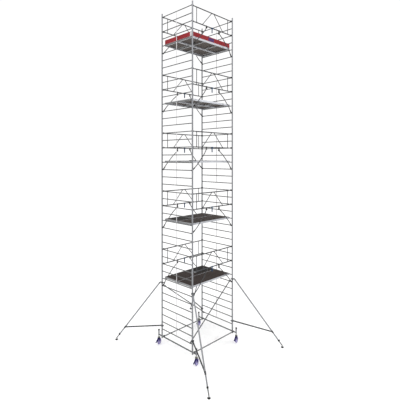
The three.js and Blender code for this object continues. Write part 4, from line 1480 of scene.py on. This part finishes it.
def fork_body():
    """Pressed crown and cheeks, with the bearing race under the nut."""
    shell = Shell()
    half = CROWN_LENGTH / 2
    trail = CASTOR_TRAIL
    axle = WHEEL_RADIUS
    cheek = rounded([
        (-half, FORK_TOP - 0.004), (half, FORK_TOP - 0.004), (trail + HUB_REACH, axle + 0.01),
        (trail + HUB_REACH * 0.8, axle - HUB_REACH * 0.7), (trail - HUB_REACH * 0.8, axle - HUB_REACH * 0.7),
        (trail - HUB_REACH, axle + 0.01),
    ], 0.014, 6)
    rib = rounded([
        (-half * 0.62, FORK_TOP - 0.026), (half * 0.62, FORK_TOP - 0.026), (trail + 0.010, axle + 0.030),
        (trail - 0.012, axle + 0.030),
    ], 0.010, 6)
    for side in (-1, 1):
        shell.prism(cheek, CHEEK_THICKNESS, Matrix.Translation((0, side * CHEEK_Y, 0)), 0.0016)
        shell.prism(rib, 0.002, Matrix.Translation((0, side * (CHEEK_Y + 0.0036), 0)), 0.0009)
    wide = CHEEK_Y + 0.0028
    corners = [(-half, -wide), (half, -wide), (half, wide), (-half, wide)]
    crown = counter_clockwise(rounded(corners, 0.008, 5))
    inset = offset_outline(crown, -0.003)
    loft(shell, [
        (FORK_TOP - 0.0155, inset), (FORK_TOP - 0.013, crown), (FORK_TOP - 0.003, crown), (FORK_TOP, inset),
    ])
    race = [(0, -0.002), (0.034, -0.002), (0.036, 0), (0.036, 0.004), (0.033, 0.008), (0, 0.008)]
    shell.revolve(race, (0, 0, FORK_TOP), Z, 36)
    return shell


def brake_pedal():
    """A curved tread plate with cross ribs over the wheel."""
    shell = Shell()
    half = CROWN_LENGTH / 2
    top = [
        (-half + 0.006, FORK_TOP - 0.001), (-half - 0.010, FORK_TOP - 0.002),
        (-half - 0.030, FORK_TOP - 0.018), (-half - 0.058, FORK_TOP - 0.042),
        (-0.130, 0.160), (-0.158, 0.139), (-PEDAL_REACH, 0.131),
    ]
    bottom = [
        (-PEDAL_REACH, 0.1195), (-0.154, 0.124), (-0.124, 0.146), (-half - 0.050, FORK_TOP - 0.055),
        (-half - 0.018, FORK_TOP - 0.026), (-half + 0.006, FORK_TOP - 0.014),
    ]
    shell.prism(rounded(top + bottom, 0.008, 3), 0.038, bevel=0.003)
    for i in range(5):
        t = 0.16 + 0.17 * i
        x = -half - 0.046 - t * 0.092
        z = FORK_TOP - 0.030 - t * 0.068
        shell.tube((x, -0.016, z), (x, 0.016, z), 0.0042, sides=12)
    return shell


def fork_fasteners():
    """The axle with its nuts, and the pedal's pivot bolts."""
    shell = Shell()
    for side in (-1, 1):
        bolt(shell, (CASTOR_TRAIL, side * CHEEK_BOLT, WHEEL_RADIUS), Y * side, 0.0085)
        bolt(shell, (-0.026, side * CHEEK_BOLT, FORK_TOP - 0.020), Y * side, 0.0045)
    reach = CHEEK_Y + 0.002
    shell.tube((CASTOR_TRAIL, -reach, WHEEL_RADIUS), (CASTOR_TRAIL, reach, WHEEL_RADIUS), 0.0066, sides=20)
    return shell


def adjusting_nut():
    """A cast nut with eight lobes to grip, and a collar above."""
    shell = Shell()
    angles = [2 * math.pi * i / 96 for i in range(96)]

    def lobed(scale):
        radii = [NUT_RADIUS * scale * (0.93 + 0.07 * math.cos(NUT_LOBES * a)) for a in angles]
        return [(r * math.cos(a), r * math.sin(a)) for r, a in zip(radii, angles)]

    neck = [(NUT_NECK * math.cos(a), NUT_NECK * math.sin(a)) for a in angles]
    loft(shell, [
        (FORK_TOP + 0.009, lobed(0.86)), (FORK_TOP + 0.014, lobed(1.0)), (FORK_TOP + 0.036, lobed(1.0)),
        (FORK_TOP + 0.041, lobed(0.88)), (FORK_TOP + 0.043, neck), (NUT_TOP - 0.002, neck),
    ])
    return shell


def spindle(top):
    """The threaded spindle, with its plain neck in the nut."""
    shell = Shell()
    r = SPINDLE_RADIUS
    core = r - THREAD_DEPTH
    profile = [(0, FORK_TOP + 0.004), (r - 0.001, FORK_TOP + 0.004)]
    z = NUT_TOP - 0.010
    while z < top - 0.010:
        profile += [(core, z), (core, z + 0.0018), (r, z + 0.0030), (r, z + 0.0042)]
        z += THREAD_PITCH
    profile += [(core, z), (core, top - 0.004), (r - 0.004, top - 0.001), (0, top - 0.001)]
    shell.revolve(profile, (0, 0, 0), Z, 28)
    return shell


def wheel_tyre():
    """The tread, rounded at its shoulders, about the Y axis."""
    shell = Shell()
    r = WHEEL_RADIUS
    half = [
        (r - 0.0200, -0.0100), (r - 0.0185, -0.0190), (r - 0.0120, -0.0192), (r - 0.0055, -0.0170),
        (r - 0.0015, -0.0115), (r, -0.0045),
    ]
    shell.revolve(mirrored(half), (0, 0, 0), Y, 72, loop=True)
    return shell


def wheel_body():
    """Moulded wheel: rim, dished web with ribs, and hub."""
    shell = Shell()
    half = [
        (0.0088, 0.0245), (0.0240, 0.0245), (0.0285, 0.0225), (0.0300, 0.0090), (0.0360, 0.0070),
        (0.0640, 0.0070), (0.0680, 0.0160), (0.0700, 0.0190), (0.0800, 0.0190), (0.0812, 0.0175),
    ]
    shell.revolve(mirrored(half), (0, 0, 0), Y, 72, loop=True)
    outline = rounded([(0.0275, -0.0028), (0.0695, -0.0022), (0.0695, 0.0022), (0.0275, 0.0028)], 0.001, 2)
    for i in range(8):
        turn = Matrix.Rotation(math.radians(45 * i + 22.5), 4, "Y")
        for side in (-1, 1):
            rib = Shell()
            rib.prism(outline, 0.010, Matrix.Translation((0, side * 0.0095, 0)), 0.0012)
            shell.join(rib, turn)
    return shell


def wheel_cover():
    """The bearing cap on each side of the hub."""
    shell = Shell()
    profile = [(0.0090, 0.0240), (0.0190, 0.0240), (0.0200, 0.0250), (0.0185, 0.0262), (0.0090, 0.0266)]
    for side in (-1, 1):
        shell.revolve(profile, (0, 0, 0), Y * side, 40, loop=True)
    return shell


def build_castors():
    spindle_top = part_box("castor_fork_a_front")[1].z
    fork = make_group("castor", (
        ("fork", fork_body(), CASTOR_PAINT, "castor_blue"),
        ("pedal", brake_pedal(), CASTOR_PAINT, "castor_blue"),
        ("fasteners", fork_fasteners(), ZINC, "zinc"),
        ("nut", adjusting_nut(), NUT_METAL, "galvanised"),
        ("spindle", spindle(spindle_top), ZINC, "zinc"),
    ))
    wheel = make_group("wheel", (
        ("tyre", wheel_tyre(), TYRE, "castor_blue"),
        ("body", wheel_body(), WHEEL_NYLON, "castor_wheel"),
        ("cover", wheel_cover(), ZINC, "zinc"),
    ))
    for end in ENDS:
        for flank in FLANK_TURNS:
            roll = JOINTS[f"castor_roll_{end}_{flank}"]
            yaw = math.atan2(roll["axis"][1], roll["axis"][0]) - math.pi / 2
            x, y, _ = JOINTS[f"castor_swivel_{end}_{flank}"]["pos_m"]
            name = f"castor_fork_{end}_{flank}"
            place_group(fork, name, name, (x, y, 0), yaw, "fork")
            name = f"castor_wheel_{end}_{flank}"
            place_group(wheel, name, name, tuple(roll["pos_m"]), yaw, "tyre")


build_castors()


# ---- Outriggers ----

MAIN_TUBE_RADIUS = 0.0225
MAIN_TUBE_LENGTH = 2.530
LEG_RADIUS = 0.0178
LEG_OVERLAP = 0.500
LEG_GAP = 0.0008
KNEE = 2.155
UPPER_CLAMP = 2.200
LOWER_CLAMP = 0.710
MAIN_START_X = 0.080
OUTRIGGER_STRUT_RADIUS = 0.021
ANKLE_HEIGHT = 0.060
STRUT_START_X = 0.058
FORK_SIDE = 0.0238
CLAMP_GAP = 0.0012
CLAMP_HEIGHT = 0.054
COLLAR_RADIUS = 0.0288


def main_direction():
    """The stay tube's direction in the outrigger's own upright plane."""
    axis = Vector(JOINTS["outrigger_extend_a_front"]["axis"])
    return Vector((math.hypot(axis.x, axis.y), 0, axis.z)).normalized()


def along_main(distance):
    """The point on the stay tube's axis at a distance from its upper end."""
    return Vector((MAIN_START_X, 0, UPPER_CLAMP)) + main_direction() * distance


def strut_line():
    """The outrigger strut's start at the lower clamp, its knee on the stay tube and its direction."""
    start = Vector((STRUT_START_X, 0, LOWER_CLAMP))
    knee = along_main(KNEE)
    return start, knee, (knee - start).normalized()


def post_clamp(shell, z):
    """A hinged cast clamp: two half rings with flanges on both sides."""
    inner, outer = POST_RADIUS + CLAMP_GAP, POST_RADIUS + 0.0115
    h = CLAMP_HEIGHT / 2
    half = [(inner, -h), (outer - 0.002, -h), (outer, 0.002 - h), (outer, -0.012), (outer + 0.0025, -0.009)]
    shell.revolve(mirrored(half), (0, 0, z), Z, 40, loop=True)
    edge = h - 0.006
    ear = rounded([(-0.010, z - edge), (0.010, z - edge), (0.010, z + edge), (-0.010, z + edge)], 0.005)
    for side in (-1, 1):
        shell.prism(ear, 0.014, Matrix.Translation((0, side * (outer + 0.0035), 0)), 0.002)


def outrigger_clamps():
    """Both post clamps, and the swan neck and cup that hold the stay tube's upper end."""
    shell = Shell()
    post_clamp(shell, UPPER_CLAMP)
    post_clamp(shell, LOWER_CLAMP)
    z = UPPER_CLAMP
    neck = [
        (0.030, z - 0.022), (0.030, z + 0.016), (0.050, z + 0.026), (0.072, z + 0.0265), (0.092, z + 0.014),
        (0.106, z - 0.008), (0.090, z - 0.030), (0.076, z - 0.018), (0.066, z - 0.008), (0.052, z - 0.014),
    ]
    shell.prism(rounded(neck, 0.010, 5), 0.028, bevel=0.004)
    inner, outer = MAIN_TUBE_RADIUS + 0.0003, MAIN_TUBE_RADIUS + 0.003
    cup = [(inner, 0.012), (outer, 0.012), (outer, 0.046), (inner, 0.048)]
    shell.revolve(cup, along_main(0.0), main_direction(), 32, loop=True)
    return shell


def outrigger_main():
    """The hollow stay tube that the leg slides in."""
    shell = Shell()
    wall = MAIN_TUBE_RADIUS - LEG_RADIUS - LEG_GAP
    shell.tube(along_main(0.004), along_main(MAIN_TUBE_LENGTH - 0.002), MAIN_TUBE_RADIUS, wall, 40)
    return shell


def outrigger_strut():
    """The strut from the lower clamp to the stay tube."""
    shell = Shell()
    start, knee, along = strut_line()
    shell.tube(start, knee - along * 0.036, OUTRIGGER_STRUT_RADIUS, 0, 28)
    return shell


def outrigger_brackets():
    """The forked hinge at the lower clamp and the sliding sleeve at the strut's far end."""
    shell = Shell()
    knee, along = strut_line()[1:]
    z = LOWER_CLAMP
    fork = [(0.030, z - 0.016), (0.030, z + 0.016), (0.075, z + 0.014), (0.084, z), (0.075, z - 0.014)]
    side = along.cross(Y).normalized()
    tip = knee - along * 0.026
    back, front = tip - along * 0.042, tip + along * 0.010
    lug = [back - side * 0.013, back + side * 0.013, front + side * 0.017, front - side * 0.017]
    for outline in (fork, [(p.x, p.z) for p in lug]):
        for y in (-FORK_SIDE, FORK_SIDE):
            shell.prism(rounded(outline, 0.006), 0.005, Matrix.Translation((0, y, 0)), 0.001)
    r = MAIN_TUBE_RADIUS
    sleeve = mirrored([(r + 0.0004, -0.045), (r + 0.004, -0.045), (r + 0.005, -0.042)])
    shell.revolve(sleeve, knee, main_direction(), 36, loop=True)
    return shell


def outrigger_fasteners():
    """Bolts through the hinge, the sleeve's lug, the clamps and the swan neck."""
    shell = Shell()
    start, knee, along = strut_line()
    for side in (-1, 1):
        for at in (start + X * 0.008, knee - along * 0.050):
            bolt(shell, at + Y * side * (FORK_SIDE + 0.0024), Y * side, 0.006)
        bolt(shell, (0.088, side * 0.0142, UPPER_CLAMP - 0.004), Y * side, 0.006)
    for z in (UPPER_CLAMP, LOWER_CLAMP):
        for dz in (-0.012, 0.012):
            bolt(shell, (0.004, POST_RADIUS + 0.022, z + dz), Y, 0.0055)
    return shell


def wing_knob(shell, at, direction, radius):
    """A moulded clamping knob: a threaded neck and a three-winged grip."""
    direction = Vector(direction).normalized()
    at = Vector(at)
    shell.tube(at, at + direction * 0.014, 0.0058, sides=16)
    side, other = cross_axes(direction)
    angles = [2 * math.pi * i / 60 for i in range(60)]
    rings = []
    for lift, scale in ((0.010, 0.82), (0.013, 1.0), (0.022, 1.0), (0.0255, 0.8)):
        centre = at + direction * lift
        ring = []
        for a in angles:
            r = radius * scale * (0.78 + 0.22 * math.cos(3 * a))
            ring.append(centre + side * r * math.cos(a) + other * r * math.sin(a))
        rings.append(ring)
    shell.stack(rings)


def outrigger_knobs():
    """Black knobs on the clamps, and the locking collar with its knob at the stay's lower end."""
    shell = Shell()
    for z in (UPPER_CLAMP, LOWER_CLAMP):
        wing_knob(shell, (-POST_RADIUS - 0.010, 0, z), -X, 0.020)
    d = main_direction()
    base = along_main(MAIN_TUBE_LENGTH - 0.050)
    seat = MAIN_TUBE_RADIUS + 0.0003
    inner = LEG_RADIUS + LEG_GAP
    outer = COLLAR_RADIUS
    collar = [
        (seat, 0.0), (outer - 0.003, 0.0), (outer, 0.004), (outer, 0.044), (outer - 0.004, 0.050),
        (inner, 0.050), (inner, 0.0485), (seat, 0.0485),
    ]
    shell.revolve(collar, base, d, 40, loop=True)
    out = d.cross(Y).normalized()
    out = out if out.z > 0 else -out
    wing_knob(shell, base + d * 0.025 + out * (outer - 0.003), out, 0.018)
    return shell


def foot_x():
    """How far the foot stands from the post: where the stay's axis comes down to the ankle."""
    d = main_direction()
    return MAIN_START_X + (UPPER_CLAMP - ANKLE_HEIGHT) / -d.z * d.x


FOOT_X = foot_x()


def leg_tube():
    """The sliding tube, with a part of its length inside the stay tube."""
    shell = Shell()
    ankle = Vector((FOOT_X, 0, ANKLE_HEIGHT))
    start = along_main(MAIN_TUBE_LENGTH - LEG_OVERLAP)
    shell.tube(start, ankle - main_direction() * 0.010, LEG_RADIUS, 0.0, 32)
    return shell


def leg_ankle():
    """The ball joint's stem with its cup, between the leg and the foot."""
    shell = Shell()
    profile = [
        (0, 0.034), (0.022, 0.034), (0.022, 0.043), (0.0165, 0.049), (0.0165, 0.054), (0.0195, 0.060),
        (0.0195, 0.070), (0.0130, 0.0785), (0, 0.0800),
    ]
    shell.revolve(profile, (FOOT_X, 0, 0), Z, 32)
    return shell


def leg_foot():
    """A ribbed rubber foot, domed on top."""
    shell = Shell()
    profile = [
        (0, 0.0005), (0.028, 0.0005), (0.029, 0.002), (0.034, 0.002), (0.035, 0.0005), (0.041, 0.0005),
        (0.0438, 0.0025), (0.0448, 0.007), (0.0445, 0.014), (0.0420, 0.022), (0.0365, 0.030), (0.028, 0.036),
        (0.017, 0.0392), (0, 0.0398),
    ]
    shell.revolve(profile, (FOOT_X, 0, 0), Z, 48)
    for i in range(24):
        a = 2 * math.pi * i / 24
        out = Vector((math.cos(a), math.sin(a), 0))
        base = Vector((FOOT_X, 0, 0.003)) + out * 0.0434
        shell.tube(base, base + Z * 0.012, 0.0019, sides=8)
    return shell


def build_outriggers():
    stay = make_group("outrigger", (
        ("stay", outrigger_main(), TUBE, "aluminium"),
        ("strut", outrigger_strut(), DARK_TUBE, "strut_dark"),
        ("clamps", outrigger_clamps(), CLAMP_METAL, "galvanised"),
        ("brackets", outrigger_brackets(), DARK_TUBE, "strut_dark"),
        ("fasteners", outrigger_fasteners(), ZINC, "zinc"),
        ("knobs", outrigger_knobs(), BLACK, "clamp_black"),
    ))
    leg = make_group("leg", (
        ("tube", leg_tube(), DARK_LEG, "aluminium"),
        ("ankle", leg_ankle(), ZINC, "zinc"),
        ("foot", leg_foot(), RUBBER, "rubber"),
    ))
    for end in ENDS:
        for flank in FLANK_TURNS:
            x, y, _ = JOINTS[f"outrigger_swing_{end}_{flank}"]["pos_m"]
            axis = JOINTS[f"outrigger_extend_{end}_{flank}"]["axis"]
            turn = math.atan2(axis[1], axis[0])
            name = f"outrigger_{end}_{flank}"
            place_group(stay, name, name, (x, y, 0), turn, "stay")
            name = f"outrigger_leg_{end}_{flank}"
            place_group(leg, name, name, (x, y, 0), turn, "tube")


build_outriggers()


# ---- Camera, light and floor ----

CAMERA_PLACE = (-8.965, -8.918, 6.481)
CAMERA_YAW = math.radians(45.51)
CAMERA_LENS = 32.47
CAMERA_SHIFT = -0.1038
FLOOR_HALF = 90.0


def build_camera():
    data = bpy.data.cameras.new("camera")
    data.lens = CAMERA_LENS
    data.sensor_width = 36.0
    data.shift_y = CAMERA_SHIFT
    data.clip_end = 200.0
    camera = bpy.data.objects.new("camera", data)
    camera.location = CAMERA_PLACE
    camera.rotation_euler = (math.pi / 2, 0, -CAMERA_YAW)
    bpy.context.scene.collection.objects.link(camera)
    bpy.context.scene.camera = camera


def area_light(name, place, target, size, power):
    data = bpy.data.lights.new(name, "AREA")
    data.shape = "DISK"
    data.size = size
    data.energy = power
    light = bpy.data.objects.new(name, data)
    light.location = place
    direction = Vector(target) - Vector(place)
    light.rotation_euler = direction.to_track_quat("-Z", "Y").to_euler()
    bpy.context.scene.collection.objects.link(light)


def build_stage():
    world = bpy.data.worlds.new("studio")
    world.use_nodes = True
    world.node_tree.nodes["Background"].inputs["Color"].default_value = (1.0, 1.0, 1.0, 1.0)
    world.node_tree.nodes["Background"].inputs["Strength"].default_value = 1.05
    bpy.context.scene.world = world
    bpy.context.scene.view_settings.view_transform = "Standard"
    area_light("key", (-16, -6, 20), (0, 0, 5), 9.0, 1500)
    area_light("fill", (12, -16, 12), (0, 0, 5), 10.0, 500)
    mesh = bpy.data.meshes.new("floor")
    h = FLOOR_HALF
    mesh.from_pydata([(-h, -h, 0), (h, -h, 0), (h, h, 0), (-h, h, 0)], [], [(0, 1, 2, 3)])
    n = Nodes("studio_floor")
    tone = n.ramp(n.noise((0.6, 0.6, 0.6), 3.0), [(0.3, (0.95, 0.95, 0.95)), (0.7, (0.97, 0.97, 0.97))])
    n.finish(tone, n.spread(n.noise((3.0, 3.0, 3.0), 3.0), 0.85, 0.95))
    n.shader.inputs["Emission Color"].default_value = (1.0, 1.0, 1.0, 1.0)
    n.shader.inputs["Emission Strength"].default_value = 0.08
    mesh.materials.append(n.material)
    floor = bpy.data.objects.new("floor", mesh)
    bpy.context.scene.collection.objects.link(floor)


build_camera()
build_stage()
